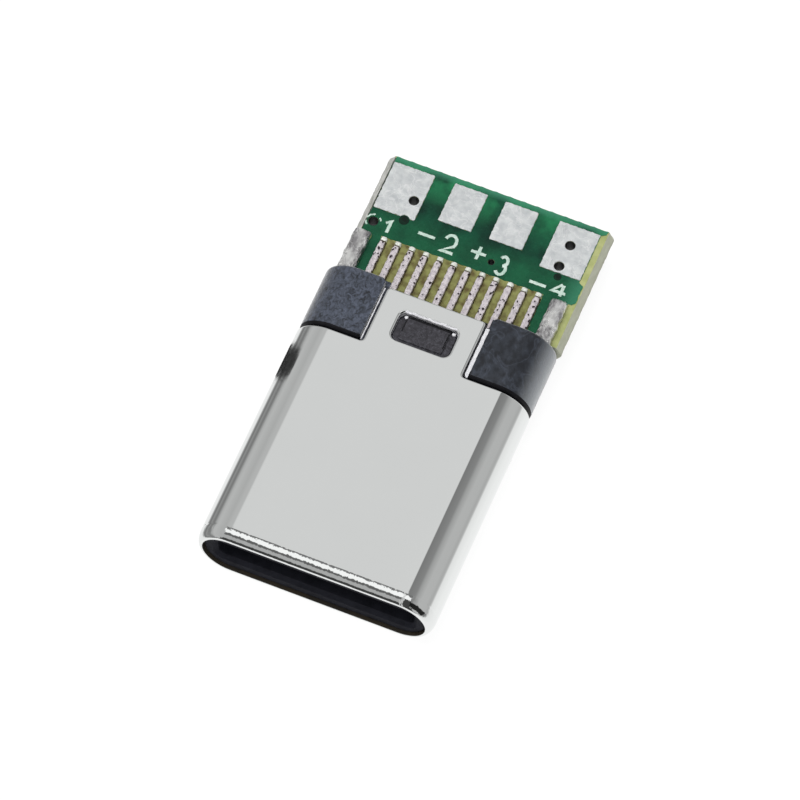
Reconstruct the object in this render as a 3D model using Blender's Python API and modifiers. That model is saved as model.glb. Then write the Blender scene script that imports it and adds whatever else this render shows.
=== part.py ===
"""Reversible cable plug on a small solder board, modelled piece by piece.

A drawn steel shell holds a moulded front housing, two moulded contact carriers with twelve
contacts each, a latch plate between them, two ground springs and two insulating films.
A moulded rear housing closes the shell with an ear on each side, and the contact tails
straddle a circuit board with four wire pads.

The plug's own frame has X across, Y from the mouth to the rear and Z up from the middle
plane. Lower pieces are the upper ones turned half a turn about Y. An empty carries it all,
so that the part lies on its shell with the world's origin under its middle.
"""

import math

import bmesh
import bpy
from mathutils import Matrix, Vector

MM = 0.001

# Contacts: twelve above and twelve below, the ground and supply ones a little longer
CONTACT_COUNT = 12
CONTACT_PITCH = 0.50 * MM
CONTACT_WIDTH = 0.22 * MM
CONTACT_THICKNESS = 0.15 * MM
CONTACT_GAP = 0.58 * MM
CONTACT_TIP = 2.42 * MM
CONTACT_BUMP = 0.42 * MM
CONTACT_NECK = 0.18 * MM
CONTACT_POINT = 0.14 * MM
FIRST_MATE_EXTRA = 0.25 * MM
FIRST_MATE_POSITIONS = (1, 4, 9, 12)
TAIL_REACH = 1.45 * MM

# Tip of a contact: shares of the bump's length, along from the tip and up from its lowest point
TIP_PROFILE = ((0.0, 0.42), (0.55, 0.11), (1.0, 0.0), (1.35, 0.04))
ROOT_BEND = (0.60, 0.04)

# Shell: a drawn tube of stadium section, with a tongue at the rear of each flat face
SHELL_WALL = 0.24 * MM
SHELL_LENGTH = 8.38 * MM
NOSE_LENGTH = 0.38 * MM
LIP_LAND = 0.03 * MM
TONGUE_WIDTH = 3.50 * MM
TONGUE_LENGTH = 2.17 * MM
NOTCH_CORNER = 0.10 * MM
TONGUE_CORNER = 0.14 * MM
WINDOW_WIDTH = 2.04 * MM
WINDOW_LENGTH = 1.08 * MM
WINDOW_SETBACK = 0.43 * MM
WINDOW_CORNER = 0.24 * MM

# Clearances between pieces
SHELL_FIT = 0.02 * MM
MOULD_FIT = 0.02 * MM
SEAT_GAP = 0.01 * MM
RUNNING_GAP = 0.05 * MM

# Front housing: the moulded collar inside the mouth
MOUTH_SETBACK = 0.12 * MM
FRONT_HOUSING_LENGTH = 4.48 * MM
CAVITY_MARGIN = 0.67 * MM
COLLAR_SIDE = 0.445 * MM
CAVITY_HEIGHT = 0.90 * MM
CAVITY_CORNER = 0.22 * MM
LEAD_IN = 0.14 * MM
SLOT_WIDTH = 0.34 * MM
SLOT_BRIDGE = 0.50 * MM

# Contact carriers: the two moulded blocks that hold the contacts
CARRIER_MARGIN = 0.45 * MM
CARRIER_COVER = 0.185 * MM
CARRIER_SETBACK = 0.62 * MM
PEG_RADIUS = 0.30 * MM
PEG_OFFSET = 1.55 * MM
PEG_REACH = 0.20 * MM

# Latch: a stamped plate with two spring arms and two solder legs
LATCH_THICKNESS = 0.25 * MM
LATCH_ARM_WIDTH = 0.25 * MM
LATCH_ARM_CLEARANCE = 0.17 * MM
LATCH_HOOK_REACH = 0.24 * MM
LATCH_HOOK_SETBACK = 1.90 * MM
LATCH_HOOK_LENGTH = 0.60 * MM
LATCH_BRIDGE = 0.42 * MM
LATCH_HOOK_RAMP = 0.20 * MM
LATCH_CORNER = 0.08 * MM
LEG_WIDTH = 0.46 * MM
LEG_SIDE = 0.645 * MM
LEG_REACH = 1.40 * MM
LEG_RAMP = 0.60 * MM

# Ground springs and insulating films, between the front housing and the shell
SPRING_THICKNESS = 0.08 * MM
SPRING_MARGIN = 0.67 * MM
SPRING_BAR = 0.24 * MM
SPRING_SETBACK = 1.95 * MM
FINGER_COUNT = 4
FINGER_PITCH = 1.40 * MM
FINGER_WIDTH = 0.62 * MM
FINGER_LENGTH = 1.05 * MM
FINGER_REACH = 0.12 * MM

# Spring finger from its tip to the bar: shares of its length, of its drop and of its width
FINGER_PROFILE = (
    (0.95, 0.55, 0.55), (0.80, 0.92, 0.70), (0.62, 1.0, 0.70),
    (0.45, 0.88, 0.80), (0.12, 0.15, 0.95), (0.0, 0.0, 0.95),
)
FILM_THICKNESS = 0.05 * MM
FILM_MARGIN = 0.25 * MM
FILM_CORNER = 0.16 * MM

# Rear housing: the moulding that closes the shell, with an ear on each side
SLEEVE_WALL = 0.175 * MM
EAR_LENGTH = 2.43 * MM
EAR_INSET = 0.02 * MM
EAR_GROOVE = 0.10 * MM
EAR_ROUND = 0.14 * MM
EAR_SOFTEN = 0.30
EAR_CORNER = 0.26 * MM
CHANNEL_WALL = 0.05 * MM
BOSS_BORDER = 0.13 * MM
BOSS_STEP = 0.05 * MM
BOSS_DROP = 0.08 * MM

# Circuit board: snapped from a scored panel, so its sides bulge at mid thickness
BOARD_LENGTH = 4.72 * MM
BOARD_INSET = 0.325 * MM
BOARD_THICKNESS = 0.80 * MM
BOARD_GAP = 0.07 * MM
BOARD_OFFSET = 0.10 * MM
OUTLINE_OFFSET = 0.12 * MM
SCORE_BULGE = 0.22 * MM
SCORE_LAND = 0.12 * MM

# Wire pads and plated holes, from the board's rear edge and its copper's centre line
PAD_THICKNESS = 0.04 * MM
PAD_REAR_MARGIN = 0.23 * MM
PAD_SIDE_MARGIN = 0.135 * MM
PAD_CORNER = 0.06 * MM
OUTER_PAD_WIDTH = 1.42 * MM
OUTER_PAD_LENGTH = 1.86 * MM
INNER_PAD_WIDTH = 1.18 * MM
INNER_PAD_LENGTH = 1.53 * MM
INNER_PAD_SPACING = 0.65 * MM
VIA_RADIUS = 0.165 * MM
SMALL_VIA_RADIUS = 0.115 * MM
LEFT_VIAS = ((1.155 * MM, 1.34 * MM), (1.145 * MM, 2.14 * MM), (0.265 * MM, 2.58 * MM))
RIGHT_VIAS = ((0.735 * MM, 0.94 * MM), (0.785 * MM, 1.80 * MM))
SMALL_VIA = (2.935 * MM, 2.55 * MM)

# Solder over each latch leg
SOLDER_MARGIN = 0.09 * MM
SOLDER_COVER = 0.12 * MM
SOLDER_OVERRUN = 0.24 * MM
SOLDER_START = 0.22 * MM
SOLDER_ROUND = 0.07 * MM

# How finely round shapes are divided
HALF_TURN_STEPS = 20
CORNER_STEPS = 4
NOSE_STEPS = 6
BAR_STEPS = 16
SHARP_ANGLE = math.radians(35)
MITRE_LIMIT = 0.5

# Sizes that add up from the row of contacts outwards
CUT_PAST = 0.40 * MM
ROW_WIDTH = CONTACT_PITCH * (CONTACT_COUNT - 1)
CAVITY_WIDTH = ROW_WIDTH + 2 * CAVITY_MARGIN
CARRIER_WIDTH = ROW_WIDTH + 2 * CARRIER_MARGIN
SPRING_WIDTH = CAVITY_WIDTH - 2 * SPRING_MARGIN
FILM_WIDTH = ROW_WIDTH + 2 * FILM_MARGIN
SHELL_WIDTH = CAVITY_WIDTH + 2 * (COLLAR_SIDE + SHELL_FIT + SHELL_WALL)
BOARD_WIDTH = SHELL_WIDTH - 2 * BOARD_INSET
LEG_CENTRE = SHELL_WIDTH / 2 - LEG_SIDE

# Levels that add up from the middle plane
BOARD_TOP = BOARD_THICKNESS / 2
STRIP_LEVEL = BOARD_TOP + SEAT_GAP + CONTACT_THICKNESS / 2
LEG_LEVEL = BOARD_TOP + SEAT_GAP + LATCH_THICKNESS / 2
CARRIER_BOTTOM = LATCH_THICKNESS / 2 + MOULD_FIT
CARRIER_TOP = STRIP_LEVEL + CONTACT_THICKNESS / 2 + CARRIER_COVER
HOUSING_TOP = CARRIER_TOP + MOULD_FIT + SLEEVE_WALL
INNER_TOP = HOUSING_TOP + SHELL_FIT
SHELL_HEIGHT = 2 * (INNER_TOP + SHELL_WALL)
ARM_SLOT = LATCH_THICKNESS / 2 + RUNNING_GAP

# Places along the plug
SHELL_REAR = SHELL_LENGTH + TONGUE_LENGTH
HOUSING_INSET = SHELL_WALL + SHELL_FIT
FRONT_HOUSING_REAR = MOUTH_SETBACK + FRONT_HOUSING_LENGTH
REAR_HOUSING_FRONT = FRONT_HOUSING_REAR + MOULD_FIT
EAR_FRONT = SHELL_LENGTH + RUNNING_GAP
EAR_REAR = EAR_FRONT + EAR_LENGTH
BOARD_FRONT = EAR_REAR + BOARD_GAP
BOARD_REAR = BOARD_FRONT + BOARD_LENGTH
CARRIER_FRONT = REAR_HOUSING_FRONT + MOULD_FIT
CARRIER_REAR = EAR_REAR - CARRIER_SETBACK
TAIL_END = BOARD_FRONT + TAIL_REACH
LEG_END = BOARD_FRONT + LEG_REACH
WINDOW_FRONT = SHELL_LENGTH + WINDOW_SETBACK
WINDOW_REAR = WINDOW_FRONT + WINDOW_LENGTH


def clear_scene():
    """Remove whatever the scene held."""
    for item in list(bpy.data.objects):
        bpy.data.objects.remove(item, do_unlink=True)


def new_collection(name):
    """Make a collection in the scene."""
    collection = bpy.data.collections.new(name)
    bpy.context.scene.collection.children.link(collection)
    return collection


def new_finish(name, colour, roughness, metallic=0.0):
    """Make a Principled material from a colour, a roughness and a metallic value."""
    material = bpy.data.materials.new(name)
    material.use_nodes = True
    shader = material.node_tree.nodes["Principled BSDF"]
    shader.inputs["Base Color"].default_value = (*colour, 1.0)
    shader.inputs["Roughness"].default_value = roughness
    shader.inputs["Metallic"].default_value = metallic
    material.diffuse_color = (*colour, 1.0)
    return material


def finish_mesh(name, shape, finish=None, smooth=True):
    """Turn a bmesh into a named object, with its faces outwards, in the plug's frame."""
    bmesh.ops.recalc_face_normals(shape, faces=shape.faces)
    mesh = bpy.data.meshes.new(name)
    shape.to_mesh(mesh)
    shape.free()
    if smooth:
        mesh.shade_smooth()
        mesh.set_sharp_from_angle(angle=SHARP_ANGLE)
    return place(name, mesh, finish)


def place(name, mesh, finish=None, turned=False):
    """Put a mesh in the scene as a piece of the plug, turned half a turn about Y if asked."""
    item = bpy.data.objects.new(name, mesh)
    if finish is None:
        cutters.objects.link(item)
        item.hide_render = True
        item.display_type = "WIRE"
    else:
        plug.objects.link(item)
        if not mesh.materials:
            mesh.materials.append(finish)
    item.parent = frame
    if turned:
        item.rotation_euler = (0.0, math.pi, 0.0)
    return item


def cut(item, cutter, operation="DIFFERENCE"):
    """Cut or join a piece with another shape."""
    boolean = item.modifiers.new(cutter.name, "BOOLEAN")
    boolean.operation = operation
    boolean.solver = "EXACT"
    boolean.object = cutter
    return boolean


def filleted(corners, steps=CORNER_STEPS):
    """Outline through (x, y, radius) corners, each with its radius as an arc."""
    outline = []
    count = len(corners)
    for index, (x, y, radius) in enumerate(corners):
        corner = Vector((x, y))
        before = (Vector(corners[index - 1][:2]) - corner).normalized()
        after = (Vector(corners[(index + 1) % count][:2]) - corner).normalized()
        if radius <= 0.0:
            outline.append(corner)
            continue
        half_angle = before.angle(after) / 2
        reach = radius / math.tan(half_angle)
        centre = corner + (before + after).normalized() * (radius / math.sin(half_angle))
        start = corner + before * reach - centre
        end = corner + after * reach - centre
        sweep = start.angle_signed(end)
        for step in range(steps + 1):
            turn = Matrix.Rotation(-sweep * step / steps, 2)
            outline.append(centre + turn @ start)
    return outline


def rectangle(left, right, low, high, radius=0.0):
    """Corners of an upright rectangle with one corner radius."""
    return [(left, low, radius), (right, low, radius), (right, high, radius), (left, high, radius)]


def prism(outline, start, end, axis="Z"):
    """Extrude a flat outline between two levels of one axis, as a bmesh."""
    if axis == "Z":
        points = [(x, y, start) for x, y in outline]
        travel = Vector((0.0, 0.0, end - start))
    else:
        points = [(x, start, z) for x, z in outline]
        travel = Vector((0.0, end - start, 0.0))
    shape = bmesh.new()
    face = shape.faces.new([shape.verts.new(point) for point in points])
    grown = bmesh.ops.extrude_face_region(shape, geom=[face])
    moved = [part for part in grown["geom"] if isinstance(part, bmesh.types.BMVert)]
    bmesh.ops.translate(shape, verts=moved, vec=travel)
    return shape


def box(low, high):
    """A box between two corners, as a bmesh."""
    size = Vector(high) - Vector(low)
    middle = (Vector(high) + Vector(low)) / 2
    shape = bmesh.new()
    bmesh.ops.create_cube(shape, size=1.0)
    bmesh.ops.scale(shape, verts=shape.verts, vec=size)
    bmesh.ops.translate(shape, verts=shape.verts, vec=middle)
    return shape


def round_bar(radius, x, y, low, high):
    """An upright round bar between two levels, as a bmesh."""
    shape = bmesh.new()
    bmesh.ops.create_cone(shape, cap_ends=True, segments=BAR_STEPS, radius1=radius, radius2=radius,
                          depth=high - low)
    bmesh.ops.translate(shape, verts=shape.verts, vec=(x, y, (low + high) / 2))
    return shape


def gathered(shapes):
    """Join several bmeshes that don't touch into one."""
    whole = bmesh.new()
    for shape in shapes:
        part = bpy.data.meshes.new("part")
        shape.to_mesh(part)
        shape.free()
        whole.from_mesh(part)
        bpy.data.meshes.remove(part)
    return whole


def stadium(width, height, level):
    """Ring of points round a stadium section at one place along the plug."""
    radius = height / 2
    middle = width / 2 - radius
    ring = []
    for side in (1, -1):
        for step in range(HALF_TURN_STEPS + 1):
            angle = side * math.pi / 2 - math.pi * step / HALF_TURN_STEPS
            ring.append((side * middle + radius * math.cos(angle), level, radius * math.sin(angle)))
    return ring


def shell_section(inset, level):
    """Stadium ring that lies a given inset inside the shell's outer face."""
    return stadium(SHELL_WIDTH - 2 * inset, SHELL_HEIGHT - 2 * inset, level)


def loft(rings, closed=False):
    """Skin a row of equal rings, capped at both ends or closed on itself, as a bmesh."""
    shape = bmesh.new()
    rows = [[shape.verts.new(point) for point in ring] for ring in rings]
    count = len(rows[0])
    following = rows[1:] + rows[:1] if closed else rows[1:]
    for row, other in zip(rows, following):
        for index in range(count):
            after = (index + 1) % count
            shape.faces.new((row[index], row[after], other[after], other[index]))
    if not closed:
        shape.faces.new(rows[0])
        shape.faces.new(rows[-1])
    return shape


def sheet_strip(path, widths, thickness, centre=0.0):
    """A bent strip of sheet metal: a ribbon along a (y, z) path, given its thickness."""
    shape = bmesh.new()
    rows = []
    for index, ((y, z), width) in enumerate(zip(path, widths)):
        before = Vector(path[max(index - 1, 0)])
        after = Vector(path[min(index + 1, len(path) - 1)])
        along = (after - before).normalized()
        inward = (Vector((y, z)) - before).normalized() if index else along
        lean = max(along.dot(inward), MITRE_LIMIT)
        offset = Vector((-along.y, along.x)) * (thickness / 2 / lean)
        rows.append([
            shape.verts.new((centre + side * width / 2, y + face * offset.x, z + face * offset.y))
            for side, face in ((-1, -1), (1, -1), (1, 1), (-1, 1))
        ])
    for row, other in zip(rows, rows[1:]):
        for index in range(4):
            after = (index + 1) % 4
            shape.faces.new((row[index], row[after], other[after], other[index]))
    shape.faces.new(rows[0])
    shape.faces.new(rows[-1])
    return shape


def contact_places():
    """Position number and place across the plug of each contact in a row."""
    first = -CONTACT_PITCH * (CONTACT_COUNT - 1) / 2
    for index in range(CONTACT_COUNT):
        yield index + 1, first + index * CONTACT_PITCH


def both_faces(low, high):
    """The same box on the upper and the lower side of the middle plane."""
    return [box(low, high), box((low[0], low[1], -high[2]), (high[0], high[1], -low[2]))]


def both_sides(low, high):
    """The same box on the right and the left side of the plug."""
    return [box(low, high), box((-high[0], low[1], low[2]), (-low[0], high[1], high[2]))]


def build_shell():
    """Drawn tube with a rounded nose, cut back beside a windowed tongue on each face."""
    nose_drop = SHELL_WALL - LIP_LAND
    past = SHELL_REAR + CUT_PAST
    profile = [(past, 0.0)]
    for step in range(NOSE_STEPS + 1):
        angle = math.pi / 2 * step / NOSE_STEPS
        profile.append((NOSE_LENGTH * (1 - math.sin(angle)), nose_drop * (1 - math.cos(angle))))
    profile += [(0.0, SHELL_WALL), (past, SHELL_WALL)]
    rings = [shell_section(inset, level) for level, inset in profile]
    shell = finish_mesh("shell", loft(rings, closed=True), steel)

    outer = SHELL_WIDTH / 2 + CUT_PAST
    side = TONGUE_WIDTH / 2
    rear_edge = filleted([
        (-outer, SHELL_LENGTH, 0.0), (-side, SHELL_LENGTH, NOTCH_CORNER), (-side, SHELL_REAR, TONGUE_CORNER),
        (side, SHELL_REAR, TONGUE_CORNER), (side, SHELL_LENGTH, NOTCH_CORNER), (outer, SHELL_LENGTH, 0.0),
        (outer, past + CUT_PAST, 0.0), (-outer, past + CUT_PAST, 0.0),
    ])
    cut(shell, finish_mesh("rear_edge_cutter", prism(rear_edge, -SHELL_HEIGHT, SHELL_HEIGHT)))

    half = WINDOW_WIDTH / 2
    window = filleted(rectangle(-half, half, WINDOW_FRONT, WINDOW_REAR, WINDOW_CORNER))
    cut(shell, finish_mesh("window_cutter", prism(window, -SHELL_HEIGHT, SHELL_HEIGHT)))


def spring_places():
    """Place across the plug of each ground spring finger."""
    first = -FINGER_PITCH * (FINGER_COUNT - 1) / 2
    return [first + index * FINGER_PITCH for index in range(FINGER_COUNT)]


def build_front_housing():
    """Moulded collar: cavity with a lead-in, contact slots, spring windows and latch slots."""
    front = MOUTH_SETBACK
    rear = FRONT_HOUSING_REAR
    rings = [
        shell_section(HOUSING_INSET + RUNNING_GAP, front),
        shell_section(HOUSING_INSET, front + RUNNING_GAP),
        shell_section(HOUSING_INSET, rear),
    ]
    housing = finish_mesh("front_housing", loft(rings), black)

    def cavity(grow, level):
        half = CAVITY_WIDTH / 2 + grow
        tall = CAVITY_HEIGHT / 2 + grow
        return [(x, level, z) for x, z in filleted(rectangle(-half, half, -tall, tall, CAVITY_CORNER + grow))]

    mouth = [cavity(LEAD_IN + CUT_PAST, front - CUT_PAST), cavity(LEAD_IN, front)]
    mouth += [cavity(0.0, front + LEAD_IN), cavity(0.0, rear + CUT_PAST)]
    cut(housing, finish_mesh("cavity_cutter", loft(mouth)))

    inside = CAVITY_HEIGHT / 2 - RUNNING_GAP
    outside = SHELL_HEIGHT / 2
    ceiling = STRIP_LEVEL + CONTACT_THICKNESS + RUNNING_GAP
    slot_front = CONTACT_TIP - FIRST_MATE_EXTRA - 2 * RUNNING_GAP
    slots = []
    for _, x in contact_places():
        left, right = x - SLOT_WIDTH / 2, x + SLOT_WIDTH / 2
        slots += both_faces((left, slot_front, inside), (right, rear - SLOT_BRIDGE, outside))
    cut(housing, finish_mesh("slot_cutter", gathered(slots)))
    channels = []
    for _, x in contact_places():
        left, right = x - SLOT_WIDTH / 2, x + SLOT_WIDTH / 2
        start = rear - SLOT_BRIDGE - RUNNING_GAP
        channels += both_faces((left, start, inside), (right, rear + CUT_PAST, ceiling))
    cut(housing, finish_mesh("channel_cutter", gathered(channels)))

    recess = HOUSING_TOP - SPRING_THICKNESS - 2 * SEAT_GAP
    half = SPRING_WIDTH / 2 + RUNNING_GAP
    beds = both_faces((-half, SPRING_SETBACK - SPRING_BAR - RUNNING_GAP, recess),
                      (half, SPRING_SETBACK + RUNNING_GAP, outside))
    cut(housing, finish_mesh("spring_bed_cutter", gathered(beds)))
    windows = []
    for x in spring_places():
        left, right = x - FINGER_WIDTH / 2 - RUNNING_GAP, x + FINGER_WIDTH / 2 + RUNNING_GAP
        start = SPRING_SETBACK - SPRING_BAR - FINGER_LENGTH - RUNNING_GAP
        windows += both_faces((left, start, inside), (right, SPRING_SETBACK - SPRING_BAR, outside))
    cut(housing, finish_mesh("spring_window_cutter", gathered(windows)))

    shelf = HOUSING_TOP - FILM_THICKNESS - 2 * SEAT_GAP
    half = FILM_WIDTH / 2 + RUNNING_GAP
    shelves = both_faces((-half, SPRING_SETBACK + 2 * RUNNING_GAP, shelf), (half, rear + CUT_PAST, outside))
    cut(housing, finish_mesh("film_bed_cutter", gathered(shelves)))

    inner = CAVITY_WIDTH / 2 - LATCH_HOOK_REACH
    arms = both_sides((inner, LATCH_HOOK_SETBACK - 2 * RUNNING_GAP, -ARM_SLOT),
                      (SHELL_WIDTH / 2, rear + CUT_PAST, ARM_SLOT))
    cut(housing, finish_mesh("arm_cutter", gathered(arms)))


def build_contacts():
    """Twelve stamped contacts above and twelve below: tail, straight run, beam and bump."""
    lowest = CONTACT_GAP / 2 + CONTACT_THICKNESS / 2
    root = FRONT_HOUSING_REAR - SLOT_BRIDGE / 2
    along, drop = ROOT_BEND
    widths = [CONTACT_POINT] + [CONTACT_NECK] * 3 + [CONTACT_WIDTH] * 4 + [CONTACT_NECK]
    for position, x in contact_places():
        tip = CONTACT_TIP - (FIRST_MATE_EXTRA if position in FIRST_MATE_POSITIONS else 0.0)
        path = [(tip + CONTACT_BUMP * share, lowest + CONTACT_BUMP * rise) for share, rise in TIP_PROFILE]
        path += [
            (root - CONTACT_BUMP * along, STRIP_LEVEL - CONTACT_BUMP * drop), (root, STRIP_LEVEL),
            (BOARD_FRONT, STRIP_LEVEL), (TAIL_END - CONTACT_WIDTH / 2, STRIP_LEVEL), (TAIL_END, STRIP_LEVEL),
        ]
        strip = sheet_strip(path, widths, CONTACT_THICKNESS)
        upper = finish_mesh(f"contact_a{position:02d}", strip, tin, smooth=False)
        upper.location.x = x
        lower = place(f"contact_b{position:02d}", upper.data, tin, turned=True)
        lower.location.x = -x


def carrier_shape():
    """One contact carrier: a moulded block with a peg and a peg hole."""
    half = CARRIER_WIDTH / 2
    outline = filleted(rectangle(-half, half, CARRIER_BOTTOM, CARRIER_TOP, RUNNING_GAP), 2)
    return prism(outline, CARRIER_FRONT, CARRIER_REAR, "Y")


def build_carriers():
    """Two like carriers, each pegged through the latch plate into the other."""
    channels = []
    half = CONTACT_WIDTH / 2 + SEAT_GAP
    low = STRIP_LEVEL - CONTACT_THICKNESS / 2 - SEAT_GAP
    high = STRIP_LEVEL + CONTACT_THICKNESS / 2 + SEAT_GAP
    for _, x in contact_places():
        channels.append(box((x - half, CARRIER_FRONT - CUT_PAST, low), (x + half, CARRIER_REAR + CUT_PAST, high)))
    across = finish_mesh("carrier_channel_cutter", gathered(channels))
    middle = (CARRIER_FRONT + CARRIER_REAR) / 2

    reach = CARRIER_BOTTOM + PEG_REACH
    peg_bar = round_bar(PEG_RADIUS, PEG_OFFSET, middle, MOULD_FIT - reach, CARRIER_BOTTOM + SEAT_GAP)
    hole_bar = round_bar(PEG_RADIUS + MOULD_FIT, -PEG_OFFSET, middle, 0.0, reach + MOULD_FIT)
    peg = finish_mesh("peg_shape", peg_bar)
    hole = finish_mesh("peg_hole_cutter", hole_bar)
    for name, turned in (("upper_carrier", False), ("lower_carrier", True)):
        carrier = finish_mesh(name, carrier_shape(), black)
        pieces = [(peg, "UNION"), (hole, "DIFFERENCE"), (across, "DIFFERENCE")]
        for tool, operation in pieces:
            if turned:
                tool = place(f"lower_{tool.name}", tool.data, turned=True)
            cut(carrier, tool, operation)
        if turned:
            carrier.rotation_euler = (0.0, math.pi, 0.0)


def latch_outline():
    """Half outline of the latch plate, from its front middle round the arm to its rear middle."""
    plate = CARRIER_WIDTH / 2 - RUNNING_GAP
    outer = SHELL_WIDTH / 2 - SHELL_WALL - LATCH_ARM_CLEARANCE
    inner = outer - LATCH_ARM_WIDTH
    bridge_rear = EAR_FRONT - RUNNING_GAP
    bridge_front = bridge_rear - LATCH_BRIDGE
    hook_rear = LATCH_HOOK_SETBACK + LATCH_HOOK_LENGTH
    hook_tip = CAVITY_WIDTH / 2 - LATCH_HOOK_REACH + RUNNING_GAP
    hook_front = LATCH_HOOK_SETBACK + LATCH_HOOK_RAMP
    leg_inner = LEG_CENTRE - LEG_WIDTH / 2
    leg_outer = LEG_CENTRE + LEG_WIDTH / 2
    plate_rear = CARRIER_REAR - LEG_RAMP
    soft = LATCH_CORNER
    return [
        (plate, CARRIER_FRONT + RUNNING_GAP, soft), (plate, bridge_front, soft),
        (inner, bridge_front, soft), (inner, hook_rear, soft),
        (hook_tip, hook_front + soft, soft / 2), (hook_tip, hook_front, soft / 2),
        (inner + soft / 2, LATCH_HOOK_SETBACK, soft / 2), (outer, LATCH_HOOK_SETBACK, soft / 2),
        (outer, bridge_rear, soft / 2), (leg_outer, bridge_rear + soft, 0.0),
        (leg_outer, plate_rear, 0.0), (leg_inner, plate_rear, 0.0),
        (leg_inner, plate_rear - LATCH_BRIDGE, soft / 2), (plate - LEG_WIDTH, plate_rear - LATCH_BRIDGE, 0.0),
    ]


def build_latch():
    """Stamped latch plate, with its legs stepped up onto the board."""
    right = latch_outline()
    left = [(-x, y, radius) for x, y, radius in reversed(right)]
    plate = prism(filleted(right + left), -LATCH_THICKNESS / 2, LATCH_THICKNESS / 2)
    latch = finish_mesh("latch_plate", plate, spring_steel)

    plate_rear = CARRIER_REAR - LEG_RAMP
    path = [
        (plate_rear - LATCH_THICKNESS, 0.0), (plate_rear + LATCH_THICKNESS / 4, 0.0),
        (plate_rear + LEG_RAMP, LEG_LEVEL), (BOARD_FRONT, LEG_LEVEL), (LEG_END, LEG_LEVEL),
    ]
    for side in (-1, 1):
        leg = sheet_strip(path, [LEG_WIDTH - SEAT_GAP] * len(path), LATCH_THICKNESS - SEAT_GAP, side * LEG_CENTRE)
        name = "right_leg_shape" if side > 0 else "left_leg_shape"
        cut(latch, finish_mesh(name, leg), "UNION")

    middle = (CARRIER_FRONT + CARRIER_REAR) / 2
    radius = PEG_RADIUS + MOULD_FIT
    places = (-PEG_OFFSET, PEG_OFFSET)
    holes = [round_bar(radius, x, middle, -LATCH_THICKNESS, LATCH_THICKNESS) for x in places]
    cut(latch, finish_mesh("latch_hole_cutter", gathered(holes)))


def build_springs():
    """Upper and lower ground springs: a bar across the plug with four bowed fingers."""
    level = HOUSING_TOP - SEAT_GAP - SPRING_THICKNESS / 2
    root = SPRING_SETBACK - SPRING_BAR
    tip_level = CAVITY_HEIGHT / 2 - FINGER_REACH + SPRING_THICKNESS / 2
    drop = level - tip_level
    half = SPRING_WIDTH / 2
    bar = box((-half, root, level - SPRING_THICKNESS / 2), (half, SPRING_SETBACK, level + SPRING_THICKNESS / 2))
    path = [(root - FINGER_LENGTH * share, level - drop * fall) for share, fall, _ in FINGER_PROFILE]
    path.append((root + SPRING_BAR / 2, level))
    widths = [FINGER_WIDTH * share for _, _, share in FINGER_PROFILE]
    widths.append(widths[-1])
    upper = finish_mesh("upper_ground_spring", bar, spring_steel, smooth=False)
    lower = place("lower_ground_spring", upper.data, spring_steel, turned=True)
    for index, x in enumerate(spring_places()):
        finger = sheet_strip(path, widths, SPRING_THICKNESS - SEAT_GAP, x)
        tool = finish_mesh(f"finger_shape_{index + 1}", finger)
        cut(upper, tool, "UNION")
        cut(lower, place(f"lower_{tool.name}", tool.data, turned=True), "UNION")


def build_films():
    """Insulating films that keep the contact beams off the shell."""
    half = FILM_WIDTH / 2
    front = SPRING_SETBACK + 3 * RUNNING_GAP
    low = HOUSING_TOP - SEAT_GAP - FILM_THICKNESS
    outline = filleted(rectangle(-half, half, front, FRONT_HOUSING_REAR - RUNNING_GAP, FILM_CORNER))
    upper = finish_mesh("upper_film", prism(outline, low, low + FILM_THICKNESS), polyimide, smooth=False)
    place("lower_film", upper.data, polyimide, turned=True)


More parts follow.
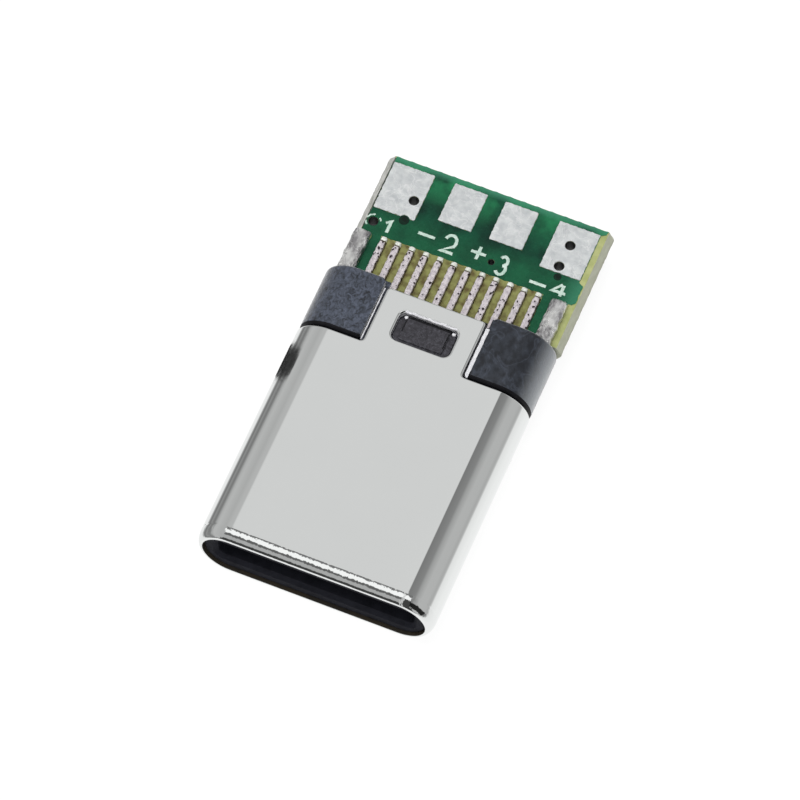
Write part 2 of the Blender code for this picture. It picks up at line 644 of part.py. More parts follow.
def build_rear_housing():
    """Moulding that closes the shell: sleeve, two ears, tongue channels and window bosses."""
    rings = [
        shell_section(HOUSING_INSET, REAR_HOUSING_FRONT), shell_section(HOUSING_INSET, EAR_FRONT),
        shell_section(EAR_INSET + EAR_GROOVE, EAR_FRONT), shell_section(EAR_INSET, EAR_FRONT + EAR_GROOVE),
        shell_section(EAR_INSET, EAR_REAR - EAR_ROUND),
        shell_section(EAR_INSET + EAR_ROUND * EAR_SOFTEN, EAR_REAR - EAR_ROUND * EAR_SOFTEN),
        shell_section(EAR_INSET + EAR_ROUND, EAR_REAR),
    ]
    housing = finish_mesh("rear_housing", loft(rings), slate)

    tall = CARRIER_TOP + MOULD_FIT
    half = CARRIER_WIDTH / 2 + MOULD_FIT
    past = EAR_REAR + CUT_PAST
    core = box((-half, REAR_HOUSING_FRONT - CUT_PAST, -tall), (half, past, tall))
    cut(housing, finish_mesh("core_cutter", core))

    side = TONGUE_WIDTH / 2 + CHANNEL_WALL
    wide = side + 2 * EAR_CORNER
    right = [
        (side, EAR_FRONT - RUNNING_GAP, 0.0), (side, EAR_REAR, EAR_CORNER), (wide, EAR_REAR, 0.0),
        (wide, past, 0.0),
    ]
    left = [(-x, y, radius) for x, y, radius in reversed(right)]
    channel = filleted(right + left)
    floor = INNER_TOP - RUNNING_GAP
    channels = [prism(channel, floor, SHELL_HEIGHT), prism(channel, -SHELL_HEIGHT, -floor)]
    cut(housing, finish_mesh("tongue_channel_cutter", gathered(channels)))

    rear_lip = box((-side, SHELL_REAR - RUNNING_GAP, -SHELL_HEIGHT), (side, past, SHELL_HEIGHT))
    cut(housing, finish_mesh("rear_lip_cutter", rear_lip))

    arms = both_sides((half - RUNNING_GAP, REAR_HOUSING_FRONT - CUT_PAST, -ARM_SLOT),
                      (SHELL_WIDTH / 2, EAR_FRONT, ARM_SLOT))
    cut(housing, finish_mesh("rear_arm_cutter", gathered(arms)))
    leg_side = LEG_CENTRE + LEG_WIDTH / 2 + MOULD_FIT
    tunnels = both_sides((half - RUNNING_GAP, EAR_FRONT - RUNNING_GAP, -ARM_SLOT),
                         (leg_side, past, LEG_LEVEL + LATCH_THICKNESS / 2 + MOULD_FIT))
    cut(housing, finish_mesh("leg_tunnel_cutter", gathered(tunnels)))

    steps = []
    top = SHELL_HEIGHT / 2 - BOSS_DROP
    for inset, height in ((RUNNING_GAP, top - BOSS_STEP), (BOSS_BORDER + RUNNING_GAP, top)):
        reach = WINDOW_WIDTH / 2 - inset
        corner = max(WINDOW_CORNER - inset, SEAT_GAP)
        outline = filleted(rectangle(-reach, reach, WINDOW_FRONT + inset, WINDOW_REAR - inset, corner))
        steps.append((outline, height))
    for index, (outline, height) in enumerate(steps):
        low = floor - MOULD_FIT
        pair = [prism(outline, low, height), prism(outline, -height, -low)]
        cut(housing, finish_mesh(f"boss_shape_{index + 1}", gathered(pair)), "UNION")


def copper_edge():
    """Half the width over the two outer wire pads."""
    return BOARD_WIDTH / 2 - PAD_SIDE_MARGIN


def via_cutter():
    """Bars through the board at each plated hole, placed from the outer pads' outer edges."""
    vias = [(-1, inward, from_rear, VIA_RADIUS) for inward, from_rear in LEFT_VIAS]
    vias += [(1, inward, from_rear, VIA_RADIUS) for inward, from_rear in RIGHT_VIAS]
    vias.append((1, *SMALL_VIA, SMALL_VIA_RADIUS))
    bars = []
    for side, inward, from_rear, radius in vias:
        x = BOARD_OFFSET + side * (copper_edge() - inward)
        bars.append(round_bar(radius, x, BOARD_REAR - from_rear, -BOARD_THICKNESS, BOARD_THICKNESS))
    return finish_mesh("via_cutter", gathered(bars))


def build_board():
    """Circuit board with scored side edges and plated holes, and its four wire pads."""
    centre = BOARD_OFFSET + OUTLINE_OFFSET
    half = BOARD_WIDTH / 2
    land = SCORE_LAND / 2
    section = [
        (centre - half, BOARD_TOP), (centre + half, BOARD_TOP), (centre + half + SCORE_BULGE, land),
        (centre + half + SCORE_BULGE, -land), (centre + half, -BOARD_TOP), (centre - half, -BOARD_TOP),
        (centre - half - SCORE_BULGE, -land), (centre - half - SCORE_BULGE, land),
    ]
    board = finish_mesh("circuit_board", prism(section, BOARD_FRONT, BOARD_REAR, "Y"), laminate, smooth=False)
    holes = via_cutter()
    cut(board, holes)

    rear = BOARD_REAR - PAD_REAR_MARGIN
    low = BOARD_TOP + SEAT_GAP / 2
    outer_middle = copper_edge() - OUTER_PAD_WIDTH / 2
    inner_middle = (INNER_PAD_SPACING + INNER_PAD_WIDTH) / 2
    sizes = (("outer", OUTER_PAD_WIDTH, OUTER_PAD_LENGTH, outer_middle),
             ("inner", INNER_PAD_WIDTH, INNER_PAD_LENGTH, inner_middle))
    for row, width, length, offset in sizes:
        for side, sign in (("left", -1), ("right", 1)):
            middle = BOARD_OFFSET + sign * offset
            corners = rectangle(middle - width / 2, middle + width / 2, rear - length, rear, PAD_CORNER)
            pad = finish_mesh(f"{side}_{row}_wire_pad", prism(filleted(corners), low, low + PAD_THICKNESS), tin)
            if row == "outer":
                cut(pad, holes)


def build_solder():
    """Solder over each latch leg, down onto the board."""
    low = BOARD_TOP + SEAT_GAP / 2
    start = BOARD_FRONT + SOLDER_START
    end = LEG_END + SOLDER_OVERRUN
    for name, side in (("left_leg_solder", -1), ("right_leg_solder", 1)):
        centre = side * LEG_CENTRE
        half = LEG_WIDTH / 2 + SOLDER_MARGIN
        outline = filleted(rectangle(centre - half, centre + half, start, end, SOLDER_ROUND * 2))
        joint = finish_mesh(name, prism(outline, low, LEG_LEVEL + LATCH_THICKNESS / 2 + SOLDER_COVER), tin)
        bevel = joint.modifiers.new("rounded", "BEVEL")
        bevel.width = SOLDER_ROUND
        bevel.segments = 2
        bevel.limit_method = "ANGLE"
        leg = LEG_WIDTH / 2 + SEAT_GAP / 2
        core = box((centre - leg, start - CUT_PAST, low - SEAT_GAP),
                   (centre + leg, LEG_END + SEAT_GAP, LEG_LEVEL + LATCH_THICKNESS / 2 + SEAT_GAP / 2))
        cut(joint, finish_mesh(f"{name}_cutter", core))


clear_scene()
plug = new_collection("usb_c_plug")
cutters = new_collection("cutters")
frame = bpy.data.objects.new("plug_frame", None)
plug.objects.link(frame)
frame.location = (0.0, -BOARD_REAR / 2, SHELL_HEIGHT / 2)

steel = new_finish("polished_stainless_steel", (0.66, 0.67, 0.66), 0.12, 1.0)
spring_steel = new_finish("spring_stainless_steel", (0.58, 0.58, 0.57), 0.3, 1.0)
black = new_finish("black_liquid_crystal_polymer", (0.012, 0.012, 0.014), 0.5)
slate = new_finish("dark_grey_liquid_crystal_polymer", (0.045, 0.05, 0.065), 0.45)
tin = new_finish("solder_tinned_copper", (0.72, 0.72, 0.73), 0.35, 1.0)
polyimide = new_finish("amber_polyimide_film", (0.45, 0.18, 0.03), 0.3)
laminate = new_finish("green_masked_glass_epoxy", (0.015, 0.11, 0.05), 0.4)

build_shell()
build_front_housing()
build_carriers()
build_contacts()
build_latch()
build_springs()
build_films()
build_rear_housing()
build_board()
build_solder()
bpy.context.view_layer.update()
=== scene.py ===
"""Looks of a reversible cable plug on a small solder board.

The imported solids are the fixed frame. This script dresses them: a drawn shell in bright
nickel plate, a moulded rear housing with an ear on each side, two rows of tinned contacts,
and a scored circuit board with solder mask, wire pads, plated holes and printed marks.

Sizes are millimetres in the plug's own frame: x across, y from the mouth to the rear and
z up from the middle plane. The function seat takes them to the row frame, in metres.
"""

import logging
import math
from dataclasses import dataclass
from enum import Enum
from typing import NamedTuple

import bmesh
import bpy
import numpy as np
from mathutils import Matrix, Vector
from mathutils.geometry import tessellate_polygon


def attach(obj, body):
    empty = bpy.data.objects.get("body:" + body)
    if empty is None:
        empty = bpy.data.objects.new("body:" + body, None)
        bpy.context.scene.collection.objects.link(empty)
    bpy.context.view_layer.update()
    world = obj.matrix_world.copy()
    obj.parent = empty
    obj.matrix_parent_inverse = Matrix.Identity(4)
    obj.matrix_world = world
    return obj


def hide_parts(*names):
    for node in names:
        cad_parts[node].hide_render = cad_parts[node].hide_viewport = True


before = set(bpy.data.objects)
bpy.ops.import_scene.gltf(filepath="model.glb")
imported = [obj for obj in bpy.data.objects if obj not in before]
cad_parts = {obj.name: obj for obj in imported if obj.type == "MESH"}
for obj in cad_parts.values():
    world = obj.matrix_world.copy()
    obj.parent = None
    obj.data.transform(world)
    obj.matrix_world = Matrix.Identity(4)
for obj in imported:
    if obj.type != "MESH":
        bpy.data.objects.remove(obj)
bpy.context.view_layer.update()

logging.basicConfig(level=logging.INFO, format="%(message)s")
log = logging.getLogger("plug")

MM = 0.001
BODY = "root"
WELD = 1e-7
FACES = (1, -1)
SHELL_WIDTH = 8.25
SHELL_HEIGHT = 2.40
SHELL_LENGTH = 8.38
EAR_FRONT = 8.43
EAR_REAR = 10.86
BOARD_FRONT = 10.93
BOARD_REAR = 15.65
BOARD_TOP = 0.40
CARRIER_HALF = 3.20
CARRIER_TOP = 0.745
TAIL_END = 12.38
LEG_CENTRE = 3.48

Tree = bpy.types.NodeTree
Socket = bpy.types.NodeSocket


class Slot(Enum):
    """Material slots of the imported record."""

    SHELL = "shell_steel"
    SPRING = "spring_steel"
    BLACK = "black_moulding"
    SLATE = "slate_moulding"
    FILM = "amber_film"
    LAMINATE = "board_laminate"
    CONTACT = "contact_tin"
    SOLDER = "solder_tin"


def seat(points: np.ndarray) -> np.ndarray:
    """Take points from the plug's own frame to the row frame.

    Args:
        points: x, y and z in mm, along the last axis.

    Returns:
        The same points in metres, from the middle of the length and the lower face.
    """
    return (np.asarray(points, float) + (0.0, -BOARD_REAR / 2, SHELL_HEIGHT / 2)) * MM


def from_middle(level: float) -> float:
    """Take a place along the plug to the row frame.

    Args:
        level: distance from the mouth, in mm.

    Returns:
        Distance from the middle of the length, still in mm.
    """
    return level - BOARD_REAR / 2


def to_linear(colour: str) -> tuple[float, float, float, float]:
    """Turn an sRGB hex colour into linear red, green, blue and alpha.

    Args:
        colour: such as "3F444F".

    Returns:
        Linear values from 0 to 1, with an alpha of 1.
    """
    values = [int(colour[i:i + 2], 16) / 255 for i in (0, 2, 4)]
    linear = [v / 12.92 if v <= 0.04045 else ((v + 0.055) / 1.055) ** 2.4 for v in values]
    return (*linear, 1.0)


def ripple(places: np.ndarray, seed: int, wave: float, octaves: int = 4) -> np.ndarray:
    """Smooth seeded unevenness along a line, about -1 to 1.

    The value is a sum of sines, each of half the wavelength and 0.6 of the height before it.

    Args:
        places: distances along the line, in mm.
        seed: seed of the phases.
        wave: longest wavelength, in mm.
        octaves: number of sines.

    Returns:
        One value for each place.
    """
    phases = np.random.default_rng(seed).uniform(0.0, 2 * np.pi, octaves)
    total = np.zeros_like(np.asarray(places, float))
    for octave, phase in enumerate(phases):
        total += 0.6**octave * np.sin(2 * np.pi * places * 2**octave / wave + phase)
    return total / 1.6


def add_node(
    tree: Tree, kind: str, inputs: dict | None = None, stops: list | None = None, **settings: object
) -> bpy.types.Node:
    """Add a node with its settings, input values and links.

    Args:
        tree: node tree that gets the node.
        kind: the node's type name, without its "ShaderNode" prefix.
        inputs: values or output sockets, by input name or number.
        stops: places and colours of a colour ramp.
        settings: attributes of the node.

    Returns:
        The new node.
    """
    node = tree.nodes.new(f"ShaderNode{kind}")
    for name, value in settings.items():
        setattr(node, name, value)
    for key, value in (inputs or {}).items():
        if isinstance(value, Socket):
            tree.links.new(value, node.inputs[key])
        else:
            node.inputs[key].default_value = value
    if stops:
        elements = node.color_ramp.elements
        while len(elements) < len(stops):
            elements.new(0.5)
        for element, (place, colour) in zip(elements, stops):
            element.position = place
            element.color = colour
    return node


class Layer(NamedTuple):
    """What a finish builds on: node tree, place on the piece in mm, and colour and relief so far."""

    tree: Tree
    mm: Socket
    colour: Socket
    height: Socket


@dataclass(frozen=True)
class Finish:
    """A surface finish: two mottled colours, a roughness range and a fine relief.

    Sizes are in mm. The mottling is large noise between the two colours, the roughness
    follows a finer noise, and that noise is also the relief, as a bump.
    """

    name: str
    colour: str
    patches: str
    roughness: tuple[float, float] = (0.4, 0.5)
    metallic: float = 0.0
    patch_size: float = 0.6
    patch_range: tuple[float, float] = (0.40, 0.65)
    grain_size: float = 0.06
    grain_depth: float = 0.003
    stretch: tuple[float, float, float] = (1.0, 1.0, 1.0)
    specular: float = 0.5
    sheen: float = 0.0
    crease: float = 0.0
    crease_size: float = 0.4
    crease_width: float = 0.035
    crease_lift: float = 0.8
    crease_colour: str = "FFFFFF"

    def material(self) -> bpy.types.Material:
        """Build the finish, or give it back where it was built before.

        Returns:
            The material.
        """
        made = bpy.data.materials.get(self.name)
        if made:
            return made
        made = bpy.data.materials.new(self.name)
        made.use_nodes = True
        tree = made.node_tree
        tree.nodes.clear()
        shader = add_node(tree, "BsdfPrincipled", {
            "Metallic": self.metallic, "Specular IOR Level": self.specular,
            "Sheen Weight": self.sheen, "Sheen Roughness": 0.35,
        })
        add_node(tree, "OutputMaterial", {"Surface": shader.outputs["BSDF"]})
        place = add_node(tree, "TexCoord")
        per_mm = tuple(share / MM for share in self.stretch)
        mm = add_node(tree, "Mapping", {"Vector": place.outputs["Object"], "Scale": per_mm}).outputs[0]
        patch = add_node(tree, "TexNoise", {"Vector": mm, "Scale": 1 / self.patch_size, "Detail": 5.0})
        share = add_node(tree, "MapRange", {
            "Value": patch.outputs["Fac"], "From Min": self.patch_range[0], "From Max": self.patch_range[1],
        }).outputs[0]
        blend = add_node(tree, "Mix", {
            "Factor": share, "A": to_linear(self.colour), "B": to_linear(self.patches),
        }, data_type="RGBA")
        grain = add_node(tree, "TexNoise", {"Vector": mm, "Scale": 1 / self.grain_size, "Detail": 3.0})
        gloss = add_node(tree, "MapRange", {
            "Value": grain.outputs["Fac"], "From Min": 0.3, "From Max": 0.7,
            "To Min": self.roughness[0], "To Max": self.roughness[1],
        })
        tree.links.new(gloss.outputs[0], shader.inputs["Roughness"])
        plain = Layer(tree, mm, blend.outputs["Result"], grain.outputs["Fac"])
        done = self.detail(self.creased(plain))
        tree.links.new(done.colour, shader.inputs["Base Color"])
        bump = add_node(tree, "Bump", {
            "Height": done.height, "Strength": 1.0, "Distance": self.grain_depth * MM,
        })
        tree.links.new(bump.outputs[0], shader.inputs["Normal"])
        return made

    def creased(self, under: Layer) -> Layer:
        """Draw raised creases: thin lines where a twisted noise crosses its middle value.

        Args:
            under: layer to draw on.

        Returns:
            The layer with its creases, or as it came where the finish has none.
        """
        if not self.crease:
            return under
        tree, mm, colour, height = under
        twist = add_node(tree, "TexNoise", {
            "Vector": mm, "Scale": 1 / self.crease_size, "Detail": 3.0, "Distortion": 1.2,
        }).outputs["Fac"]
        off = add_node(tree, "Math", {0: twist, 1: 0.5}, operation="SUBTRACT").outputs[0]
        gap = add_node(tree, "Math", {0: off}, operation="ABSOLUTE").outputs[0]
        line = add_node(tree, "MapRange", {
            "Value": gap, "From Min": 0.0, "From Max": self.crease_width,
            "To Min": self.crease, "To Max": 0.0,
        }).outputs[0]
        mixed = add_node(tree, "Mix", {
            "Factor": line, "A": colour, "B": to_linear(self.crease_colour),
        }, data_type="RGBA").outputs["Result"]
        raised = add_node(tree, "Math", {0: line, 1: self.crease_lift, 2: height},
                          operation="MULTIPLY_ADD").outputs[0]
        return under._replace(colour=mixed, height=raised)

    def detail(self, under: Layer) -> Layer:
        """Give back the layer as it came: a hook for what only one finish has."""
        return under


@dataclass(frozen=True)
class BrightPlate(Finish):
    """Bright nickel over a drawn steel shell: a mirror, a little wavy where the nose was drawn in."""

    nose_end: float = 0.50
    nose_fade: float = 0.06
    wave_size: float = 0.12
    wave_height: float = 70.0

    def detail(self, under: Layer) -> Layer:
        """Add long waves across the drawn nose to the fine relief.

        The nose is where y is under its end: there the height gains a noise that is long
        along y and short across, times a share that fades to nothing at the flat.

        Args:
            under: layer to build on.

        Returns:
            The layer with its waves.
        """
        tree, mm, _, height = under
        y = add_node(tree, "SeparateXYZ", {"Vector": mm}).outputs["Y"]
        end = from_middle(self.nose_end)
        nose = add_node(tree, "MapRange", {
            "Value": y, "From Min": end, "From Max": end - self.nose_fade,
        }).outputs[0]
        across = add_node(tree, "Mapping", {"Vector": mm, "Scale": (1.0, 0.6, 0.6)}).outputs[0]
        wave = add_node(tree, "TexNoise", {"Vector": across, "Scale": 1 / self.wave_size, "Detail": 2.0})
        swell = add_node(tree, "Math", {0: nose, 1: wave.outputs["Fac"]}, operation="MULTIPLY").outputs[0]
        both = add_node(tree, "Math", {0: swell, 1: self.wave_height, 2: height}, operation="MULTIPLY_ADD")
        return under._replace(height=both.outputs[0])


@dataclass(frozen=True)
class PittedTin(Finish):
    """Reflowed tin on the contact tails, with small dark flux pits on the bare top."""

    pit_colour: str = "3B3136"
    pit_spacing: float = 0.12
    pit_reach: float = 0.46
    pit_depth: float = 1.5
    pit_start: float = 11.0

    def detail(self, under: Layer) -> Layer:
        """Darken and sink small spots.

        A spot is where the distance to the middle of a crackle's cell is under a reach that
        a larger noise sets, so that some cells have a wide pit and many have none.

        Args:
            under: layer to build on.

        Returns:
            The layer with its pits.
        """
        tree, mm, colour, height = under
        squeezed = add_node(tree, "Mapping", {"Vector": mm, "Scale": (1.0, 0.75, 0.5)}).outputs[0]
        cells = add_node(tree, "TexVoronoi", {"Vector": squeezed, "Scale": 1 / self.pit_spacing})
        chance = add_node(tree, "TexNoise", {"Vector": mm, "Scale": 9.0, "Detail": 1.0}).outputs["Fac"]
        reach = add_node(tree, "MapRange", {
            "Value": chance, "From Min": 0.34, "From Max": 0.66, "To Min": 0.0, "To Max": self.pit_reach,
        }).outputs[0]
        inside = add_node(tree, "Math", {0: reach, 1: cells.outputs["Distance"]},
                          operation="SUBTRACT").outputs[0]
        pit = add_node(tree, "MapRange", {"Value": inside, "From Min": 0.0, "From Max": 0.10}).outputs[0]
        y = add_node(tree, "SeparateXYZ", {"Vector": mm}).outputs["Y"]
        tail = add_node(tree, "Math", {0: y, 1: from_middle(self.pit_start)},
                        operation="GREATER_THAN").outputs[0]
        spots = add_node(tree, "Math", {0: pit, 1: tail}, operation="MULTIPLY").outputs[0]
        mixed = add_node(tree, "Mix", {
            "Factor": spots, "A": colour, "B": to_linear(self.pit_colour),
        }, data_type="RGBA").outputs["Result"]
        sunk = add_node(tree, "Math", {0: spots, 1: -self.pit_depth, 2: height},
                        operation="MULTIPLY_ADD").outputs[0]
        return under._replace(colour=mixed, height=sunk)


@dataclass(frozen=True)
class MouldedPolymer(Finish):
    """Filled polymer as moulded, with a painted highlight towards the left and a painted sheen on the
    right-hand flank.
    """

    # Painted highlight over the left of the ears, broken into streaks, and painted sheen on the right-hand
    # flank.
    left_highlight: str = "596070"
    left_highlight_span: tuple[float, float] = (1.5, -2.2)
    left_highlight_share: float = 0.85
    flank_sheen: str = "A9AEB3"
    flank_sheen_span: tuple[float, float] = (3.50, 4.14)

    def detail(self, under: Layer) -> Layer:
        """Blend to the painted highlight's colour from right to left, in streaks, and to the painted sheen's
        colour on the right-hand flank.

        Args:
            under: layer to build on.

        Returns:
            The layer with its painted highlight and sheen.
        """
        tree, mm, colour, _ = under
        x = add_node(tree, "SeparateXYZ", {"Vector": mm}).outputs["X"]
        side = add_node(tree, "MapRange", {
            "Value": x, "From Min": self.left_highlight_span[0], "From Max": self.left_highlight_span[1],
            "To Min": 0.0, "To Max": self.left_highlight_share,
        }).outputs[0]
        streak = add_node(tree, "TexNoise", {"Vector": mm, "Scale": 7.5, "Detail": 5.0, "Distortion": 1.0})
        share = add_node(tree, "MapRange", {
            "Value": streak.outputs["Fac"], "From Min": 0.35, "From Max": 0.68,
        })
        both = add_node(tree, "Math", {0: side, 1: share.outputs[0]}, operation="MULTIPLY").outputs[0]
        mixed = add_node(tree, "Mix", {
            "Factor": both, "A": colour, "B": to_linear(self.left_highlight),
        }, data_type="RGBA").outputs["Result"]
        # Painted sheen: the right-hand flank turns pale towards its edge.
        flank = add_node(tree, "MapRange", {
            "Value": x, "From Min": self.flank_sheen_span[0], "From Max": self.flank_sheen_span[1],
        }).outputs[0]
        sheen_share = add_node(tree, "Math", {0: flank, 1: 1.6}, operation="POWER").outputs[0]
        last = add_node(tree, "Mix", {
            "Factor": sheen_share, "A": mixed, "B": to_linear(self.flank_sheen),
        }, data_type="RGBA")
        return under._replace(colour=last.outputs["Result"])


@dataclass(frozen=True)
class PalerPlacesMask(Finish):
    """Solder mask that turns paler between the pads, round the marks and at the rear and right-hand edges."""

    thin: str = "237C50"
    edge: str = "428A6C"
    pads_span: tuple[float, float] = (14.1, 15.3)
    marks_span: tuple[float, float] = (13.85, 13.25)
    rear_span: tuple[float, float] = (15.36, 15.60)
    side_span: tuple[float, float] = (3.3, 3.95)

    def detail(self, under: Layer) -> Layer:
        """Blend to the paler colour, in clouds, and to the edge colour at the rear and right edges.

        Each share rises over its own span: the first three along the plug, and the last across it.

        Args:
            under: layer to build on.

        Returns:
            The layer with its paler places.
        """
        tree, mm, colour, _ = under
        axes = add_node(tree, "SeparateXYZ", {"Vector": mm}).outputs
        cloud = add_node(tree, "TexNoise", {"Vector": mm, "Scale": 1.1, "Detail": 3.0}).outputs["Fac"]
        patch = add_node(tree, "MapRange", {"Value": cloud, "From Min": 0.36, "From Max": 0.60}).outputs[0]
        pads, marks, rear = (add_node(tree, "MapRange", {
            "Value": axes["Y"], "From Min": from_middle(start), "From Max": from_middle(end), "To Max": most,
        }).outputs[0] for (start, end), most in (
            (self.pads_span, 0.9), (self.marks_span, 0.17), (self.rear_span, 0.8),
        ))
        side = add_node(tree, "MapRange", {
            "Value": axes["X"], "From Min": self.side_span[0], "From Max": self.side_span[1], "To Max": 0.6,
        }).outputs[0]
        between = add_node(tree, "Math", {0: patch, 1: pads}, operation="MULTIPLY").outputs[0]
        veil = add_node(tree, "Math", {0: patch, 1: marks, 2: marks}, operation="MULTIPLY_ADD").outputs[0]
        thin = add_node(tree, "Math", {0: between, 1: veil}, operation="MAXIMUM").outputs[0]
        edge = add_node(tree, "Math", {0: rear, 1: side}, operation="MAXIMUM").outputs[0]
        for share, shade in ((thin, self.thin), (edge, self.edge)):
            colour = add_node(tree, "Mix", {
                "Factor": share, "A": colour, "B": to_linear(shade),
            }, data_type="RGBA").outputs["Result"]
        return under._replace(colour=colour)


@dataclass(frozen=True)
class SnappedEdge(Finish):
    """Snapped laminate: grey fibre on the left, greener with resin on the right."""

    resin: str = "C4C7AE"
    resin_span: tuple[float, float] = (-1.0, 3.0)
    resin_share: float = 0.75

    def detail(self, under: Layer) -> Layer:
        """Blend toward the resin's colour from left to right.

        Args:
            under: layer to build on.

        Returns:
            The layer with its resin.
        """
        tree, mm, colour, _ = under
        x = add_node(tree, "SeparateXYZ", {"Vector": mm}).outputs["X"]
        side = add_node(tree, "MapRange", {
            "Value": x, "From Min": self.resin_span[0], "From Max": self.resin_span[1],
            "To Min": 0.0, "To Max": self.resin_share,
        }).outputs[0]
        mixed = add_node(tree, "Mix", {
            "Factor": side, "A": colour, "B": to_linear(self.resin),
        }, data_type="RGBA")
        return under._replace(colour=mixed.outputs["Result"])


@dataclass(frozen=True)
class WornPrint(Finish):
    """Printed marks, rubbed thin so that the mask shows through in places."""

    beneath: str = "2C7355"

    def detail(self, under: Layer) -> Layer:
        """Let the mask's green through where a fine noise is high.

        Args:
            under: layer to build on.

        Returns:
            The layer with its worn places.
        """
        tree, mm, colour, _ = under
        wear = add_node(tree, "TexNoise", {"Vector": mm, "Scale": 9.0, "Detail": 4.0}).outputs["Fac"]
        thin = add_node(tree, "MapRange", {"Value": wear, "From Min": 0.56, "From Max": 0.74, "To Max": 0.55})
        mixed = add_node(tree, "Mix", {
            "Factor": thin.outputs[0], "A": colour, "B": to_linear(self.beneath),
        }, data_type="RGBA")
        return under._replace(colour=mixed.outputs["Result"])


# Bright nickel plate on a drawn shell: a clean mirror with the faintest orange peel.
BRIGHT_NICKEL = BrightPlate("bright_nickel_plate", "E9EBEA", "E8EAE9", (0.02, 0.035), 1.0,
                            patch_size=2.5, grain_size=0.35, grain_depth=0.00012)
# The inside of the shell: dark brown, only a little metallic, and half dull.
DARK_BORE = Finish("dark_shell_bore", "453E33", "383530", (0.5, 0.65), 0.3,
                    patch_size=0.5, grain_size=0.08, grain_depth=0.002)
# Bright spring steel, cold rolled: a soft metal shine with faint streaks along the strip.
ROLLED_SPRING = Finish("rolled_spring_steel", "CFCDC8", "B9B7B2", (0.22, 0.34), 1.0,
                       grain_size=0.03, grain_depth=0.001, stretch=(1.0, 0.15, 1.0))
# Glass-filled liquid crystal polymer as moulded: dark slate, satin, with swirled flow marks, a painted
# highlight on the left and a painted sheen on the right-hand flank.
SLATE_POLYMER = MouldedPolymer("slate_liquid_crystal_polymer", "1B1E24", "31363F", (0.36, 0.52), 0.0,
                               patch_size=0.22, patch_range=(0.36, 0.70), grain_size=0.06, grain_depth=0.012,
                               stretch=(1.0, 0.8, 1.0), specular=0.4, sheen=1.0,
                               crease=0.22, crease_size=0.8, crease_colour="5A6170")
# The same polymer in black, drier where it shows in the window of the shell. It is also painted shade: the
# fronts of the ears' grooves and the dark lines round the window bosses' upper steps.
BLACK_POLYMER_AND_SHADE = Finish("black_liquid_crystal_polymer", "0E0E11", "16161A", (0.40, 0.55), 0.0,
                       patch_size=0.3, grain_size=0.05, grain_depth=0.004, specular=0.25)
# The same again round the contacts in the mouth: dry, slightly blue, and never touched.
MOUTH_POLYMER = Finish("dry_liquid_crystal_polymer", "25262D", "1E1F25", (0.60, 0.75), 0.0,
                       patch_size=0.3, grain_size=0.05, grain_depth=0.004, specular=0.1)
# The locking boss in the shell's window: rubbed, a shade lighter and browner.
BOSS_POLYMER = Finish("rubbed_liquid_crystal_polymer", "2A292E", "3E3D43", (0.5, 0.65), 0.0,
                      patch_size=0.12, patch_range=(0.36, 0.66), grain_size=0.04, grain_depth=0.006,
                      crease=0.5, crease_size=0.22, crease_colour="5E5E66")
# The same steel where the press sheared it: pale, torn and dull beside the plate's mirror.
SHEARED_STEEL = Finish("sheared_shell_edge", "EFEFF2", "D2D2D8", (0.34, 0.50), 0.35,
                       patch_size=0.10, patch_range=(0.40, 0.72), grain_size=0.04, grain_depth=0.008)
# Hot-air levelled tin on the wire pads: pale, almost matte, with faint ripples.
PAD_TIN = Finish("levelled_pad_tin", "E6E9E9", "CBCFD1", (0.32, 0.52), 0.5,
                 patch_size=0.28, patch_range=(0.35, 0.70), grain_size=0.10, grain_depth=0.012,
                 crease=0.45, crease_size=0.55)
# Reflowed tin on the contact tails: pinkish grey with dark flux pits.
TAIL_TIN = PittedTin("reflowed_tail_tin", "EAE2E5", "B9B1B8", (0.26, 0.44), 0.6,
                     patch_size=0.11, patch_range=(0.40, 0.74), grain_size=0.05, grain_depth=0.008)
# Hand solder over the latch legs: greyer, lumpy, with bright wetted patches.
LEG_SOLDER = Finish("lumpy_leg_solder", "A3A1A3", "F2F2F0", (0.20, 0.42), 0.9,
                    patch_size=0.36, patch_range=(0.44, 0.62), grain_size=0.24, grain_depth=0.018,
                    stretch=(1.0, 0.45, 1.0), crease=0.5, crease_size=0.6)
# Wetted solder at the tails' ends: bright, with a slight green that is a painted reflection of the mask
# beside it.
TIP_SOLDER = Finish("bright_tip_solder", "F1F4EC", "DDE0D6", (0.18, 0.34), 0.3,
                    patch_size=0.1, grain_size=0.06, grain_depth=0.010)
# Bare glass epoxy: olive where flux has browned it between the tails.
BARE_LAMINATE = Finish("bare_glass_epoxy", "8D8F56", "5D522F", (0.35, 0.5), 0.0,
                       patch_size=0.26, patch_range=(0.40, 0.68), grain_size=0.08, grain_depth=0.006,
                       specular=0.3)
# Painted shade: a thin dark brown line beside and behind each soldered tail, where its edges and its end
# shade the board.
TAIL_SHADE = Finish("painted_tail_shade", "2E2718", "4A4024", (0.3, 0.5), 0.0,
                    patch_size=0.1, patch_range=(0.4, 0.6), grain_size=0.05, grain_depth=0.004, specular=0.3)
# Bare glass epoxy past the mask: pale yellow-green, with the weave faintly there.
EDGE_LAMINATE = Finish("pale_glass_epoxy", "B9BD83", "A3AA6C", (0.4, 0.55), 0.0,
                       patch_size=0.3, patch_range=(0.36, 0.66), grain_size=0.12, grain_depth=0.006)
# Snapped and scored glass epoxy: crushed white fibre along the board's sides.
SNAPPED_FIBRE = SnappedEdge("snapped_glass_fibre", "CDCDC9", "A9AAA3", (0.6, 0.8), 0.0,
                            patch_size=0.16, patch_range=(0.36, 0.66), grain_size=0.05, grain_depth=0.014,
                            stretch=(1.0, 0.4, 1.4))
